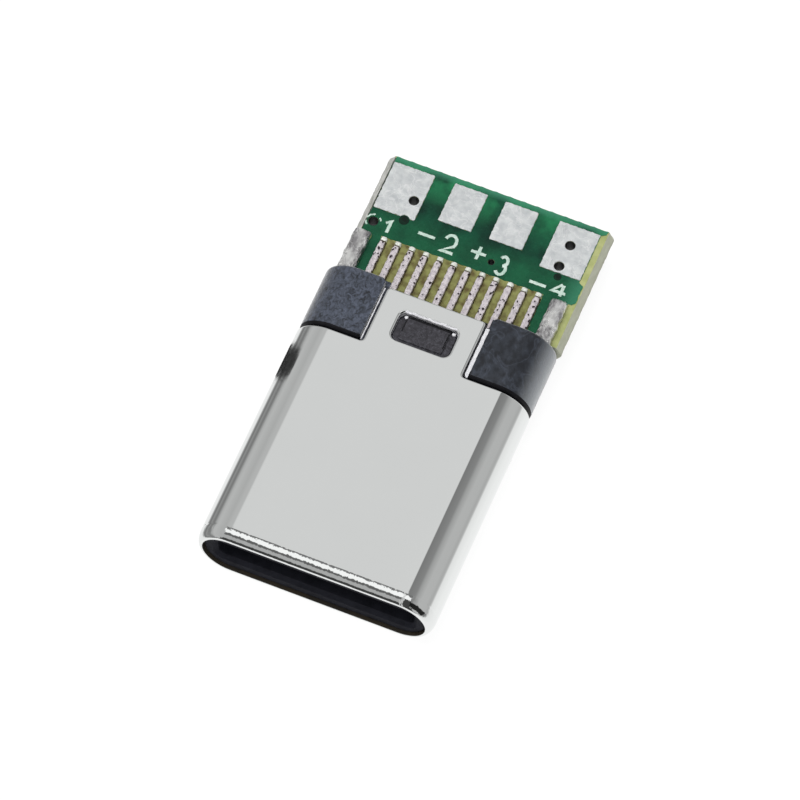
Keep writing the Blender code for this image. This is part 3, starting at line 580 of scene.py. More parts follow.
# Painted shade: a dark line along the board's left edge, beside the left pad.
LEFT_EDGE_SHADE = Finish("painted_left_edge_shade", "3E413C", "5A5D56", (0.5, 0.7), 0.0,
                     patch_size=0.2, grain_size=0.05, grain_depth=0.004)
# Green solder mask: glossy, a little lighter in places.
GREEN_MASK = PalerPlacesMask("green_solder_mask", "062E22", "0B4832", (0.22, 0.32), 0.0,
                          patch_size=0.8, patch_range=(0.40, 0.68), grain_size=0.2, grain_depth=0.004,
                          specular=0.2)
# Mask sunk into a plated hole: darker and wet-looking.
PLUGGED_MASK = Finish("plugged_solder_mask", "051710", "0A2A1D", (0.15, 0.25), 0.0,
                      patch_size=0.2, grain_size=0.1, grain_depth=0.004, specular=0.2)
# Printed legend ink, pale mint and worn.
LEGEND_INK = WornPrint("worn_legend_ink", "CFE0D6", "B4CFC1", (0.5, 0.6), 0.0,
                       patch_size=0.2, grain_size=0.04, grain_depth=0.004)
# Plated hole walls, coloured near black: painted shade for the inside of each hole.
HOLE_SHADE = Finish("painted_hole_shade", "0E0F10", "191A1C", (0.4, 0.6), 0.0,
                    patch_size=0.1, grain_size=0.05, grain_depth=0.004)
# Polyimide film: amber and glossy.
AMBER_FILM = Finish("amber_polyimide_film", "A8671C", "96591A", (0.2, 0.3), 0.0,
                    patch_size=1.0, grain_size=0.2, grain_depth=0.001)


class Roughness(NamedTuple):
    """Ripples of an edge: their height, their longest wavelength and their seed."""

    height: float
    wave: float
    seed: int


def rounded(corners: list[tuple[float, float, float]], steps: int = 8) -> np.ndarray:
    """Closed outline through corners, each rounded by its own radius.

    The arc's centre lies on the corner's bisector, at the radius over the sine of half the
    corner's angle, and the arc runs between the points where it touches the two sides.

    Args:
        corners: x, y and radius of each corner.
        steps: segments of each arc.

    Returns:
        Points, as an array of n by 2.
    """
    points = []
    places = np.array([corner[:2] for corner in corners], float)
    for index, (*_, radius) in enumerate(corners):
        corner = places[index]
        if radius <= 0:
            points.append(corner[None])
            continue
        before = places[index - 1] - corner
        after = places[(index + 1) % len(corners)] - corner
        before, after = before / np.linalg.norm(before), after / np.linalg.norm(after)
        half = math.acos(np.clip(before @ after, -1, 1)) / 2
        middle = (before + after) / np.linalg.norm(before + after)
        centre = corner + middle * radius / math.sin(half)
        start = corner + before * radius / math.tan(half) - centre
        end = corner + after * radius / math.tan(half) - centre
        sweep = math.atan2(start[0] * end[1] - start[1] * end[0], start @ end)
        turns = np.linspace(0.0, sweep, steps + 1)
        x = start[0] * np.cos(turns) - start[1] * np.sin(turns)
        y = start[0] * np.sin(turns) + start[1] * np.cos(turns)
        points.append(centre + np.stack([x, y], 1))
    return np.concatenate(points)


def rectangle(left: float, right: float, low: float, high: float, radius: float = 0.0) -> np.ndarray:
    """Rounded rectangle.

    Args:
        left: its least x.
        right: its greatest x.
        low: its least y.
        high: its greatest y.
        radius: rounding of its corners.

    Returns:
        Closed outline, counter-clockwise, n by 2.
    """
    return rounded([(left, low, radius), (right, low, radius), (right, high, radius), (left, high, radius)])


def circle(x: float, y: float, radius: float, steps: int = 32) -> np.ndarray:
    """Circle: its middle plus the radius times the cosine and sine of the turn.

    Args:
        x: x of its middle.
        y: y of its middle.
        radius: its radius.
        steps: number of points.

    Returns:
        Closed outline, counter-clockwise, n by 2.
    """
    turns = np.linspace(0.0, 2 * np.pi, steps, endpoint=False)
    return np.stack([x + radius * np.cos(turns), y + radius * np.sin(turns)], 1)


def lift(outline: np.ndarray, level: float) -> np.ndarray:
    """Give a flat outline its level.

    Args:
        outline: points, n by 2.
        level: z of every point.

    Returns:
        Points, n by 3.
    """
    return np.concatenate([outline, np.full((len(outline), 1), level)], 1)


def travelled(points: np.ndarray) -> np.ndarray:
    """Distance of each point from the first, along the line: the sum of the sides before it.

    Args:
        points: path, n by 2.

    Returns:
        One distance for each point.
    """
    return np.concatenate([[0.0], np.cumsum(np.linalg.norm(np.diff(points, axis=0), axis=1))])


def inward(points: np.ndarray, closed: bool = True) -> np.ndarray:
    """Mitred normals to the left of a path.

    Each is the sum of the unit normals of the two sides that meet, over one plus their dot
    product, so that a point moved along it stays the same distance from both sides.

    Args:
        points: path, n by 2.
        closed: whether the last point joins the first.

    Returns:
        Normals, n by 2.
    """
    sides = np.roll(points, -1, axis=0) - points
    sides /= np.maximum(np.linalg.norm(sides, axis=1, keepdims=True), 1e-12)
    after = np.stack([-sides[:, 1], sides[:, 0]], 1)
    before = np.roll(after, 1, axis=0)
    if not closed:
        after[-1], before[0] = before[-1], after[0]
    return (before + after) / (1.0 + np.sum(before * after, axis=1, keepdims=True))


def spread(points: np.ndarray, spacing: float) -> np.ndarray:
    """Add points to a closed outline, so that no side is longer than the spacing.

    Args:
        points: outline, n by 2.
        spacing: longest side that is left, in mm.

    Returns:
        The denser outline.
    """
    pieces = []
    for start, end in zip(points, np.roll(points, -1, axis=0)):
        count = max(1, math.ceil(np.linalg.norm(end - start) / spacing))
        pieces.append(start + (end - start) * np.arange(count)[:, None] / count)
    return np.concatenate(pieces)


def uneven(points: np.ndarray, rough: Roughness) -> np.ndarray:
    """Move a closed outline in and out by ripples: along each normal, by the height times the ripple.

    Args:
        points: closed outline, n by 2.
        rough: ripples of the edge.

    Returns:
        The uneven outline, with six points or more to a wave.
    """
    dense = spread(points, rough.wave / 6)
    return dense + inward(dense) * (rough.height * ripple(travelled(dense), rough.seed, rough.wave))[:, None]


def stroked(line: np.ndarray, width: float, mitre: float = np.inf) -> np.ndarray:
    """Outline of a line of some width: the line moved half the width to each side.

    Args:
        line: path, n by 2.
        width: width of the stroke, in mm.
        mitre: largest share of the half width that a corner is moved by, along each axis.

    Returns:
        Closed outline.
    """
    side = inward(line, closed=False).clip(-mitre, mitre) * width / 2
    return np.concatenate([line - side, (line + side)[::-1]])


def edge_rows(thickness: float, radius: float, lower_radius: float = 0.0, steps: int = 4) -> np.ndarray:
    """Inset and depth of each row round the edge of a sheet, from its upper face to its lower one.

    Both roundings are quarter circles: the inset is the radius times one minus the sine of
    the turn, and the depth is the radius times one minus its cosine.

    Args:
        thickness: thickness of the sheet.
        radius: rounding of its upper edge.
        lower_radius: rounding of its lower edge, or nothing where it is the same.
        steps: segments of each rounding.

    Returns:
        Rows by 2.
    """
    turn = np.linspace(0.0, np.pi / 2, steps + 1)
    unit = np.stack([1 - np.sin(turn), 1 - np.cos(turn)], 1)
    lower = unit[::-1] * (lower_radius or radius) * (1, -1) + (0, thickness)
    return np.concatenate([unit * radius, lower])


def edge_grid(loop: np.ndarray, normals: np.ndarray, insets: np.ndarray, levels: np.ndarray) -> np.ndarray:
    """Rows of points round an edge: the loop moved along its normals by each inset, at each level.

    Args:
        loop: the edge seen from above, n by 2.
        normals: directions into the material, n by 2.
        insets: distance moved, for each row.
        levels: level, for each row.

    Returns:
        Grid of rows by n by 3.
    """
    flat = loop + insets[:, None, None] * normals
    return np.concatenate([flat, np.broadcast_to(levels[:, None, None], (*flat.shape[:2], 1))], -1)


class Skin:
    """Points and faces gathered for one piece, in mm in the plug's own frame."""

    def __init__(self) -> None:
        """Start with nothing."""
        self.points: list[np.ndarray] = []
        self.faces: list[list[int]] = []
        self.finishes: list[int] = []
        self.count = 0

    def add(self, points: np.ndarray, faces: np.ndarray, finish: int = 0) -> None:
        """Add points with faces.

        Args:
            points: array whose last axis holds x, y and z.
            faces: faces that number the points from 0.
            finish: number of the finish.
        """
        self.points.append(points.reshape(-1, 3))
        self.faces += (np.asarray(faces) + self.count).tolist()
        self.finishes += [finish] * len(faces)
        self.count += len(self.points[-1])

    def add_grid(self, grid: np.ndarray, ring: bool = False, finish: int = 0) -> None:
        """Add a surface of quads.

        Args:
            grid: points, rows by columns by 3.
            ring: whether the last column joins the first.
            finish: number of the finish.
        """
        rows, columns = grid.shape[:2]
        row, column = np.meshgrid(np.arange(rows - 1), np.arange(columns - (not ring)), indexing="ij")
        after = (column + 1) % columns
        corners = [row * columns + column, row * columns + after,
                   (row + 1) * columns + after, (row + 1) * columns + column]
        self.add(grid, np.stack(corners, -1).reshape(-1, 4), finish)

    def add_cap(self, loops: list[np.ndarray], finish: int = 0) -> None:
        """Add a flat face between an outer loop of points and the holes in it."""
        triangles = tessellate_polygon([[Vector(point) for point in loop] for loop in loops])
        self.add(np.concatenate(loops), np.array([tuple(t) for t in triangles]), finish)

    def add_plate(
        self, outline: np.ndarray, low: float, high: float, radius: float, holes: tuple[np.ndarray, ...] = (),
    ) -> None:
        """Add a flat plate with rounded edges and holes.

        Every edge is a grid of the outline moved into the material by each row's inset and
        down by its depth, and the faces fill what the first and last rows enclose.

        Args:
            outline: closed outline, counter-clockwise.
            low: level of its lower face.
            high: level of its upper face.
            radius: rounding of its edges.
            holes: closed outlines of holes, counter-clockwise.
        """
        insets, depths = edge_rows(high - low, radius).T
        grids = [edge_grid(loop, inward(loop), insets, high - depths)
                 for loop in (outline, *(hole[::-1] for hole in holes))]
        for grid in grids:
            self.add_grid(grid, ring=True)
        for row in (0, -1):
            self.add_cap([grid[row] for grid in grids])

    def add_pair(self, outline: np.ndarray, low: float, high: float, radius: float) -> None:
        """Add a plate on both faces of the plug, between two distances from its middle plane."""
        for face in FACES:
            self.add_plate(outline, *sorted((face * low, face * high)), radius)

    def add_prism(self, outline: np.ndarray, low: float, high: float) -> None:
        """Add an upright solid between two levels, with sharp edges."""
        self.add_tube(np.stack([lift(outline, low), lift(outline, high)]))

    def add_tube(self, rows: np.ndarray) -> None:
        """Add a surface of rings, and fill its first and last rings.

        Args:
            rows: rings by points by 3.
        """
        self.add_grid(rows, ring=True)
        self.add_cap([rows[0]])
        self.add_cap([rows[-1]])

    def mesh(self, name: str) -> bpy.types.Mesh:
        """Make the mesh, with its doubles merged and its faces turned outwards.

        Args:
            name: name of the mesh.

        Returns:
            The mesh, in the row frame.
        """
        made = bpy.data.meshes.new(name)
        made.from_pydata(seat(np.concatenate(self.points)), [], self.faces)
        made.polygons.foreach_set("material_index", self.finishes)
        shape = bmesh.new()
        shape.from_mesh(made)
        bmesh.ops.remove_doubles(shape, verts=shape.verts, dist=WELD)
        bmesh.ops.dissolve_degenerate(shape, dist=WELD, edges=shape.edges)
        bmesh.ops.recalc_face_normals(shape, faces=shape.faces)
        shape.to_mesh(made)
        shape.free()
        return made

    def piece(
        self, name: str, slot: Slot, *finishes: Finish, replaces: tuple[str, ...] = ()
    ) -> bpy.types.Object:
        """Make the finished piece from these surfaces, as dress_piece does."""
        return dress_piece(name, self.mesh(name), slot, *finishes, replaces=replaces)


def even_normals(mesh: bpy.types.Mesh, sharp: float) -> None:
    """Set each corner's normal to the mean of the faces round its point, weighted by area.

    Only faces that turn from the corner's own face by less than the sharp angle count, so
    flats stay flat beside their small rounded edges. At this scale Blender's own modifier
    takes such small areas for nothing.

    Args:
        mesh: the mesh to set.
        sharp: the angle, in degrees.
    """
    count = len(mesh.polygons)
    normal, area = np.empty(count * 3), np.empty(count)
    corners, vertex = np.empty(count, np.int32), np.empty(len(mesh.loops), np.int32)
    mesh.polygons.foreach_get("normal", normal)
    mesh.polygons.foreach_get("area", area)
    mesh.polygons.foreach_get("loop_total", corners)
    mesh.loops.foreach_get("vertex_index", vertex)
    normal = normal.reshape(-1, 3)
    face = np.repeat(np.arange(count), corners)
    order = np.argsort(vertex, kind="stable")
    around = np.bincount(vertex)
    starts = np.cumsum(around) - around
    partners = around[vertex]
    own = np.repeat(np.arange(len(vertex)), partners)
    turn = np.arange(len(own)) - np.repeat(np.cumsum(partners) - partners, partners)
    other = face[order[starts[vertex[own]] + turn]]
    near = np.sum(normal[face[own]] * normal[other], axis=1) > math.cos(math.radians(sharp))
    pull = normal[other[near]] * area[other[near], None]
    total = np.stack([np.bincount(own[near], pull[:, axis], len(vertex)) for axis in range(3)], 1)
    total /= np.maximum(np.linalg.norm(total, axis=1, keepdims=True), 1e-30)
    mesh.shade_smooth()
    mesh.normals_split_custom_set(total.tolist())


def dress_piece(
    name: str, mesh: bpy.types.Mesh, slot: Slot, *finishes: Finish,
    replaces: tuple[str, ...] = (), sharp: float = 38.0,
) -> bpy.types.Object:
    """Put a mesh in the scene as a piece of the plug.

    Args:
        name: the piece's name.
        mesh: its mesh, in the row frame.
        slot: the record's material slot; not used.
        finishes: one finish for each number that its faces use.
        replaces: solids of the frame that it stands for.
        sharp: angle in degrees past which an edge isn't smoothed.

    Returns:
        The piece, riding on the plug's body.
    """
    item = bpy.data.objects.new(name, mesh)
    bpy.context.scene.collection.objects.link(item)
    for finish in finishes:
        mesh.materials.append(finish.material())
    even_normals(mesh, sharp)
    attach(item, BODY)
    if replaces:
        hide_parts(*replaces)
    log.info("%s: %d faces, for %s", name, len(mesh.polygons), ", ".join(replaces) or "detail")
    return item


def carve(name: str, body: Skin, cuts: list[Skin], softening: float) -> bpy.types.Mesh:
    """Cut solids out of a body exactly, one after the other, and soften the edges that are left.

    Args:
        name: name of the mesh.
        body: the solid to start from.
        cuts: the solids that are cut out.
        softening: width of the rounding of the edges, in mm.

    Returns:
        The mesh that is left.
    """
    scene = bpy.context.scene
    blank = bpy.data.objects.new(f"{name}_blank", body.mesh(name))
    scene.collection.objects.link(blank)
    helpers = [blank]
    for index, cut in enumerate(cuts):
        helper = bpy.data.objects.new(f"{name}_cut_{index}", cut.mesh(f"{name}_cut_{index}"))
        scene.collection.objects.link(helper)
        helpers.append(helper)
        boolean = blank.modifiers.new(helper.name, "BOOLEAN")
        boolean.operation = "DIFFERENCE"
        boolean.solver = "EXACT"
        boolean.object = helper
    soften = blank.modifiers.new("softened_edges", "BEVEL")
    soften.width = softening * MM
    soften.segments = 2
    soften.limit_method = "ANGLE"
    soften.angle_limit = math.radians(50)
    bpy.context.view_layer.update()
    carved = bpy.data.meshes.new_from_object(blank.evaluated_get(bpy.context.evaluated_depsgraph_get()))
    for helper in helpers:
        bpy.data.objects.remove(helper, do_unlink=True)
    carved.name = name
    return carved


def section(inset: float, level: float, steps: int = 48) -> np.ndarray:
    """Ring round the plug's section, two half circles and two flats, at one place along it.

    Points of the right half run from the top down: the half circle's centre plus the radius
    times the cosine and sine of the turn. The left half is the right one turned half a turn.

    Args:
        inset: distance inside the shell's outer face.
        level: place along the plug.
        steps: segments of each half circle.

    Returns:
        Ring of points, n by 3.
    """
    radius = SHELL_HEIGHT / 2 - inset
    turn = np.linspace(np.pi / 2, -np.pi / 2, steps + 1)
    x = (SHELL_WIDTH - SHELL_HEIGHT) / 2 + radius * np.cos(turn)
    z = radius * np.sin(turn)
    right = np.stack([x, np.full_like(x, level), z], 1)
    return np.concatenate([right, right * (-1, 1, -1)])


class Burr(NamedTuple):
    """Sheared burr in a notch: its sides across the plug, its rear end and its ripples' seed."""

    inner: float
    outer: float
    rear: float
    seed: int


@dataclass
class PlugShell:
    """Drawn tube with a rounded nose, cut back beside a windowed tongue on each flat face."""

    wall: float = 0.24
    nose_length: float = 0.46
    nose_drop: float = 0.21
    lip_radius: float = 0.012
    rim_radius: float = 0.09
    burr_radius: float = 0.03
    tongue_sides: tuple[float, float] = (-1.79, 1.715)
    tongue_rear: float = 10.55
    notch_radius: float = 0.10
    tongue_radius: float = 0.14
    window: tuple[float, float, float, float] = (-1.02, 1.02, 8.81, 9.89)
    window_radius: float = 0.24
    join_level: float = 8.10
    join_half: float = 1.95
    turn_steps: int = 72
    nose_steps: int = 20
    burrs: tuple[Burr, ...] = (Burr(1.772, 1.898, 10.33, 5), Burr(-1.833, -1.868, 10.46, 9))
    burr_front: float = 8.40
    burr_straight: float = 8.56
    burr_corner: float = 0.165
    burr_bow: float = 0.85
    burr_ripple: float = 0.006
    burr_waves: tuple[float, float, float] = (0.5, 0.7, 0.6)
    burr_span: tuple[float, float] = (1.13, 1.192)
    crest_ripple: float = 0.002
    crest_drops: tuple[float, float] = (0.006, 0.004)
    crest_lean: float = 0.15

    def flank(self, depth: np.ndarray, level: np.ndarray) -> np.ndarray:
        """Rows round the right-hand side, from the upper flat to the lower one.

        Each row is the shell's outer half circle moved in by the row's depth, with one more
        point on each flat, where the flank meets the tongue's field.

        Args:
            depth: distance inside the outer face, for each row.
            level: place along the plug, for each row.

        Returns:
            Grid of rows by columns by 3.
        """
        turn = np.linspace(np.pi / 2, -np.pi / 2, self.turn_steps + 1)
        turn = np.concatenate([turn[:1], turn, turn[-1:]])
        centre = np.full_like(turn, (SHELL_WIDTH - SHELL_HEIGHT) / 2)
        centre[[0, -1]] = self.join_half
        radius = (SHELL_HEIGHT / 2 - depth)[:, None]
        x = centre + radius * np.cos(turn)
        z = radius * np.sin(turn)
        y = np.broadcast_to(level[:, None], x.shape)
        return np.stack([x, y, z], -1)

    def nose_profile(self) -> np.ndarray:
        """Depth and level of each ring, from the bore round the lip and over the nose.

        The lip's inner edge is a small quarter circle and the nose a quarter ellipse: its level
        is the nose length times one minus the sine of the turn, and its depth the drop times
        one minus the cosine.

        Returns:
            Rings by 2.
        """
        lip = np.linspace(0.0, np.pi / 2, 5)
        inner = np.stack([self.wall - self.lip_radius * (1 - np.cos(lip)),
                          self.lip_radius * (1 - np.sin(lip))], 1)
        nose = np.linspace(np.pi / 2, 0.0, self.nose_steps + 1)
        outer = np.stack([self.nose_drop * (1 - np.cos(nose)), self.nose_length * (1 - np.sin(nose))], 1)
        start, end = [(self.wall, self.join_level)], [(0.0, self.join_level)]
        return np.concatenate([start, inner, outer, end])

    def rear_path(self) -> np.ndarray:
        """Rear edge over one flat face: shoulder, notch, tongue, notch and shoulder.

        Returns:
            Points from right to left, n by 2.
        """
        (left, right), rear, far = self.tongue_sides, self.tongue_rear, self.join_half + 1.0
        corners = [
            (far, SHELL_LENGTH, 0.0), (right, SHELL_LENGTH, self.notch_radius),
            (right, rear, self.tongue_radius), (left, rear, self.tongue_radius),
            (left, SHELL_LENGTH, self.notch_radius), (-far, SHELL_LENGTH, 0.0),
            (-far, 0.0, 0.0), (far, 0.0, 0.0),
        ]
        path = rounded(corners)[:-2]
        path[0, 0], path[-1, 0] = self.join_half, -self.join_half
        return path

    def build(self) -> None:
        """Build the shell as one closed skin.

        The tube is a grid of rings. Past the last ring, each flank is a short grid up to the
        shoulder, and each flat is a face bounded by the rear edge, with the window in it. Rims
        are the edges moved in and down row by row.
        """
        skin = Skin()
        right = self.flank(*self.nose_profile().T)
        tube = np.concatenate([right, right[:, ::-1] * (-1, 1, 1)], 1)
        skin.add_grid(tube[:3], ring=True, finish=2)
        skin.add_grid(tube[2:], ring=True)
        insets, depths = edge_rows(self.wall, self.rim_radius, self.burr_radius, 6).T
        side = self.flank(
            np.concatenate([[0.0], depths, [self.wall]]),
            np.concatenate([[self.join_level], SHELL_LENGTH - insets, [self.join_level]]),
        )
        skin.add_grid(side)
        skin.add_grid(side * (-1, 1, 1))

        path = self.rear_path()
        hole = rectangle(*self.window, self.window_radius)[::-1]
        loops = ((path, inward(path, closed=False)), (hole, inward(hole)))
        base = np.array([(-self.join_half, self.join_level), (self.join_half, self.join_level)])
        rolled = len(insets) // 2
        for face in FACES:
            levels = face * (SHELL_HEIGHT / 2 - depths)
            edge, window = (edge_grid(loop, normals, insets, levels) for loop, normals in loops)
            for grid, ring in ((edge, False), (window, True)):
                skin.add_grid(grid[:rolled], ring=ring)
                skin.add_grid(grid[rolled - 1:], ring=ring, finish=1)
            for row in (0, -1):
                skin.add_cap([np.concatenate([lift(base, levels[row]), edge[row]]), window[row]])
        skin.piece("drawn_shell", Slot.SHELL, BRIGHT_NICKEL, SHEARED_STEEL, DARK_BORE, replaces=("shell",))
        self.build_burrs()

    def burr_rings(self, burr: Burr, face: int) -> np.ndarray:
        """Rings of five corners along a burr.

        At the front the inner side follows the notch's corner: it moves out by the burr's
        width times one minus the root of one minus the square of the way into the corner.

        Args:
            burr: the burr.
            face: 1 for the upper face, -1 for the lower one.

        Returns:
            Rings by points by 3.
        """
        y = np.concatenate([np.linspace(self.burr_front, self.burr_straight, 8),
                            np.linspace(self.burr_straight + 0.06, burr.rear, 30)])
        bend = np.clip((self.burr_straight - y) / self.burr_corner, 0.0, 1.0)
        curve = (burr.outer - burr.inner) * self.burr_bow * (1 - np.sqrt(1 - 0.98 * bend**2))
        ripples = [ripple(y, burr.seed + index, wave) for index, wave in enumerate(self.burr_waves)]
        drift = math.copysign(self.burr_ripple, burr.outer)
        near, far = burr.inner + curve + drift * ripples[0], burr.outer + drift * ripples[1]
        foot, crest = self.burr_span
        low, high = np.full_like(y, foot), crest + self.crest_ripple * ripples[2]
        near_drop, far_drop = self.crest_drops
        corners = ((near, low), (near, high - near_drop), (near + self.crest_lean * (far - near), high),
                   (far, high - far_drop), (far, low))
        return np.stack([np.stack([x, y, face * z], -1) for x, z in corners], 1)

    def build_burrs(self) -> None:
        """Build the sheared burrs beside the tongues, wide on the right and thin on the left."""
        skin = Skin()
        for face in FACES:
            for burr in self.burrs:
                skin.add_tube(self.burr_rings(burr, face))
        skin.piece("notch_burrs", Slot.SHELL, SHEARED_STEEL)


class Boss(NamedTuple):
    """Step of a window boss: its insets from the window's front and sides, its top and its corners."""

    front: float
    side: float
    top: float
    corner: float


@dataclass
class RearHousing:
    """Moulding that closes the shell: sleeve, two ears, tongue channels and window bosses."""

    front: float = 4.62
    sleeve_inset: float = 0.26
    ear_inset: float = 0.02
    groove_depth: float = 0.20
    groove_length: float = 0.17
    rear_round: float = 0.14
    before: float = front - 0.4
    past: float = EAR_REAR + 0.4
    outside: float = 1.6
    overlap: float = 0.05
    core_gap: float = 0.02
    arm_half: float = 0.175
    arm_reach: float = 4.125
    leg_reach: float = 3.73
    leg_top: float = 0.68
    tail_half: float = 1.80
    tail_front: float = 10.50
    channel_front: float = EAR_FRONT - 0.3
    channel_sides: tuple[float, float] = (-1.93, 1.88)
    channel_floor: float = 0.91
    channel_corner: float = 0.26
    notch_corner: float = 0.13
    edge_width: float = 0.028
    bosses: tuple[Boss, ...] = (Boss(0.03, 0.03, 1.05, 0.20), Boss(0.11, 0.25, 1.10, 0.08))
    boss_rear: float = 0.10
    boss_round: float = 0.02
    # Dark lines along the upper step's sides and rear: painted shade.
    shade_lines: tuple[tuple[float, float], ...] = ((-0.75, 0.42), (0.73, 0.30))
    shade_line_half: float = 0.022
    shade_line_rear: float = 0.19
    shade_line_span: tuple[float, float] = (1.02, 1.104)
    shade_line_round: float = 0.004
    shade_line_edge: Roughness = Roughness(0.008, 0.2, 33)
    rear_shade_line: tuple[float, float, float] = (0.25, 0.14, 0.07)
    spots: tuple[tuple[float, Roughness], ...] = (
        (-0.80, Roughness(0.008, 0.15, 32)), (0.88, Roughness(0.008, 0.15, 48)),
    )
    spot_half: float = 0.06
    spot_rears: tuple[float, float] = (0.20, 0.09)
    spot_corner: float = 0.04
    spot_span: tuple[float, float] = (1.05, 1.135)
    spot_round: float = 0.02
    strip_ends: tuple[float, float] = (0.12, 0.08)
    strip_sides: tuple[float, float] = (-0.020, 0.062)
    strip_span: tuple[float, float] = (1.10, 1.199)
    strip_round: float = 0.01
    strip_edges: tuple[Roughness, ...] = (Roughness(0.010, 0.5, 31), Roughness(0.010, 0.5, 29))

    def body(self) -> Skin:
        """Rings along the plug: straight sleeve, quarter-round front edge, ear and rounded rear.

        Returns:
            The solid that the housing is cut from.
        """
        turn = np.linspace(0.0, np.pi / 2, 7)
        front = [(self.ear_inset + self.groove_depth * (1 - math.sin(t)),
                  EAR_FRONT + self.groove_length * (1 - math.cos(t))) for t in turn]
        rear = [(self.ear_inset + self.rear_round * (1 - math.cos(t)),
                 EAR_REAR - self.rear_round * (1 - math.sin(t))) for t in turn]
        rows = [(self.sleeve_inset, self.front), (self.sleeve_inset, EAR_FRONT), *front, *rear]
        skin = Skin()
        skin.add_tube(np.stack([section(inset, level) for inset, level in rows]))
        return skin

    @staticmethod
    def block(
        x: tuple[float, float], y: tuple[float, float], z: tuple[float, float], twin: bool = False,
    ) -> Skin:
        """Make a box.

        Args:
            x: its ends across the plug.
            y: its ends along the plug.
            z: its lower and upper levels.
            twin: whether its mirror image on the other side of the plug is added.

        Returns:
            The box, or both.
        """
        skin = Skin()
        skin.add_prism(rectangle(*x, *y), *z)
        if twin:
            skin.add_prism(rectangle(-x[1], -x[0], *y), *z)
        return skin

    def channels(self) -> Skin:
        """Make the solids that cut a channel for the tongue into each face.

        Returns:
            Both solids, wider than the channel before and behind the ears.
        """
        before, (left, right), corner = self.channel_front, self.channel_sides, self.channel_corner
        wide = self.tail_half + 2 * corner
        outline = rounded([
            (-wide, before, 0.0), (wide, before, 0.0), (wide, EAR_FRONT, 0.0),
            (right, EAR_FRONT, self.notch_corner), (right, EAR_REAR, corner), (wide, EAR_REAR, 0.0),
            (wide, self.past, 0.0), (-wide, self.past, 0.0), (-wide, EAR_REAR, 0.0),
            (left, EAR_REAR, corner), (left, EAR_FRONT, self.notch_corner), (-wide, EAR_FRONT, 0.0),
        ])
        skin = Skin()
        for low, high in ((self.channel_floor, self.outside), (-self.outside, -self.channel_floor)):
            skin.add_prism(outline, low, high)
        return skin

    def cuts(self) -> list[Skin]:
        """Make the solids that cut the core, the tongues, the tails, the latch's arms and its legs free.

        Returns:
            The solids, in the order that they are cut in.
        """
        before, past, outside, tail = self.before, self.past, self.outside, self.tail_half
        core, top, arm = CARRIER_HALF + self.core_gap, CARRIER_TOP + self.core_gap, self.arm_half
        arms, legs = ((core - self.overlap, reach) for reach in (self.arm_reach, self.leg_reach))
        return [
            self.block((-core, core), (before, past), (-top, top)),
            self.channels(),
            self.block((-tail, tail), (self.tail_front, past), (-outside, outside)),
            self.block(arms, (before, EAR_FRONT), (-arm, arm), twin=True),
            self.block(legs, (EAR_FRONT - self.overlap, past), (-arm, self.leg_top), twin=True),
        ]

    def build(self) -> None:
        """Carve the housing, soften its edges, paint shade on the fronts of its ear grooves and add what lies
        in the windows.
        """
        mesh = carve("rear_moulding", self.body(), self.cuts(), self.edge_width)
        centres, normals = np.empty((2, len(mesh.polygons) * 3), np.float32)
        mesh.polygons.foreach_get("center", centres)
        mesh.polygons.foreach_get("normal", normals)
        level = centres[1::3] / MM + BOARD_REAR / 2
        half = self.groove_length / 2
        # Faces at the front of each ear's groove take the black finish as painted shade.
        painted_shade = (abs(level - EAR_FRONT - half) < half) & (normals[1::3] < -0.2)
        mesh.polygons.foreach_set("material_index", painted_shade.astype(np.int32))
        dress_piece("rear_moulding", mesh, Slot.SLATE, SLATE_POLYMER, BLACK_POLYMER_AND_SHADE,
                    replaces=("rear_housing",))
        self.build_bosses()
        self.build_window_burrs()

    def build_bosses(self) -> None:
        """Build the stepped boss in each window, and the dark lines round its upper step, which are painted
        shade.
        """
        left, right, low, high = PlugShell.window
        skin = Skin()
        for boss in self.bosses:
            outline = rectangle(left + boss.side, right - boss.side, low + boss.front,
                                high - self.boss_rear, boss.corner)
            skin.add_pair(outline, self.channel_floor - self.boss_round, boss.top, self.boss_round)
        skin.piece("window_bosses", Slot.BLACK, BOSS_POLYMER)
        # Dark plates along the upper step's edges: painted shade.
        skin = Skin()
        half = self.shade_line_half
        for middle, front in self.shade_lines:
            line = rectangle(middle - half, middle + half, low + front, high - self.shade_line_rear)
            skin.add_pair(uneven(line, self.shade_line_edge), *self.shade_line_span, self.shade_line_round)
        side, start, end = self.rear_shade_line
        across = rectangle(left + side, right - side, high - start, high - end)
        skin.add_pair(across, *self.shade_line_span, self.shade_line_round)
        skin.piece("window_boss_shade_lines", Slot.BLACK, BLACK_POLYMER_AND_SHADE)

    def build_window_burrs(self) -> None:
        """Build the ragged burr at each window's rear edge, and the spots in its corners."""
        left, right, _, high = PlugShell.window
        skin = Skin()
        (front, rear), half = self.spot_rears, self.spot_half
        for middle, edge in self.spots:
            spot = rectangle(middle - half, middle + half, high - front, high - rear, self.spot_corner)
            skin.add_pair(uneven(spot, edge), *self.spot_span, self.spot_round)
        across = np.linspace(left + self.strip_ends[0], right - self.strip_ends[1], 40)
        for face, edge in zip(FACES, self.strip_edges):
            ragged = high - edge.height * ripple(across, edge.seed, edge.wave)
            near, far = (np.stack([across, ragged + side], 1) for side in self.strip_sides)
            levels = sorted(face * level for level in self.strip_span)
            skin.add_plate(np.concatenate([near, far[::-1]]), *levels, self.strip_round)
        skin.piece("window_edge_burrs", Slot.SHELL, SHEARED_STEEL)


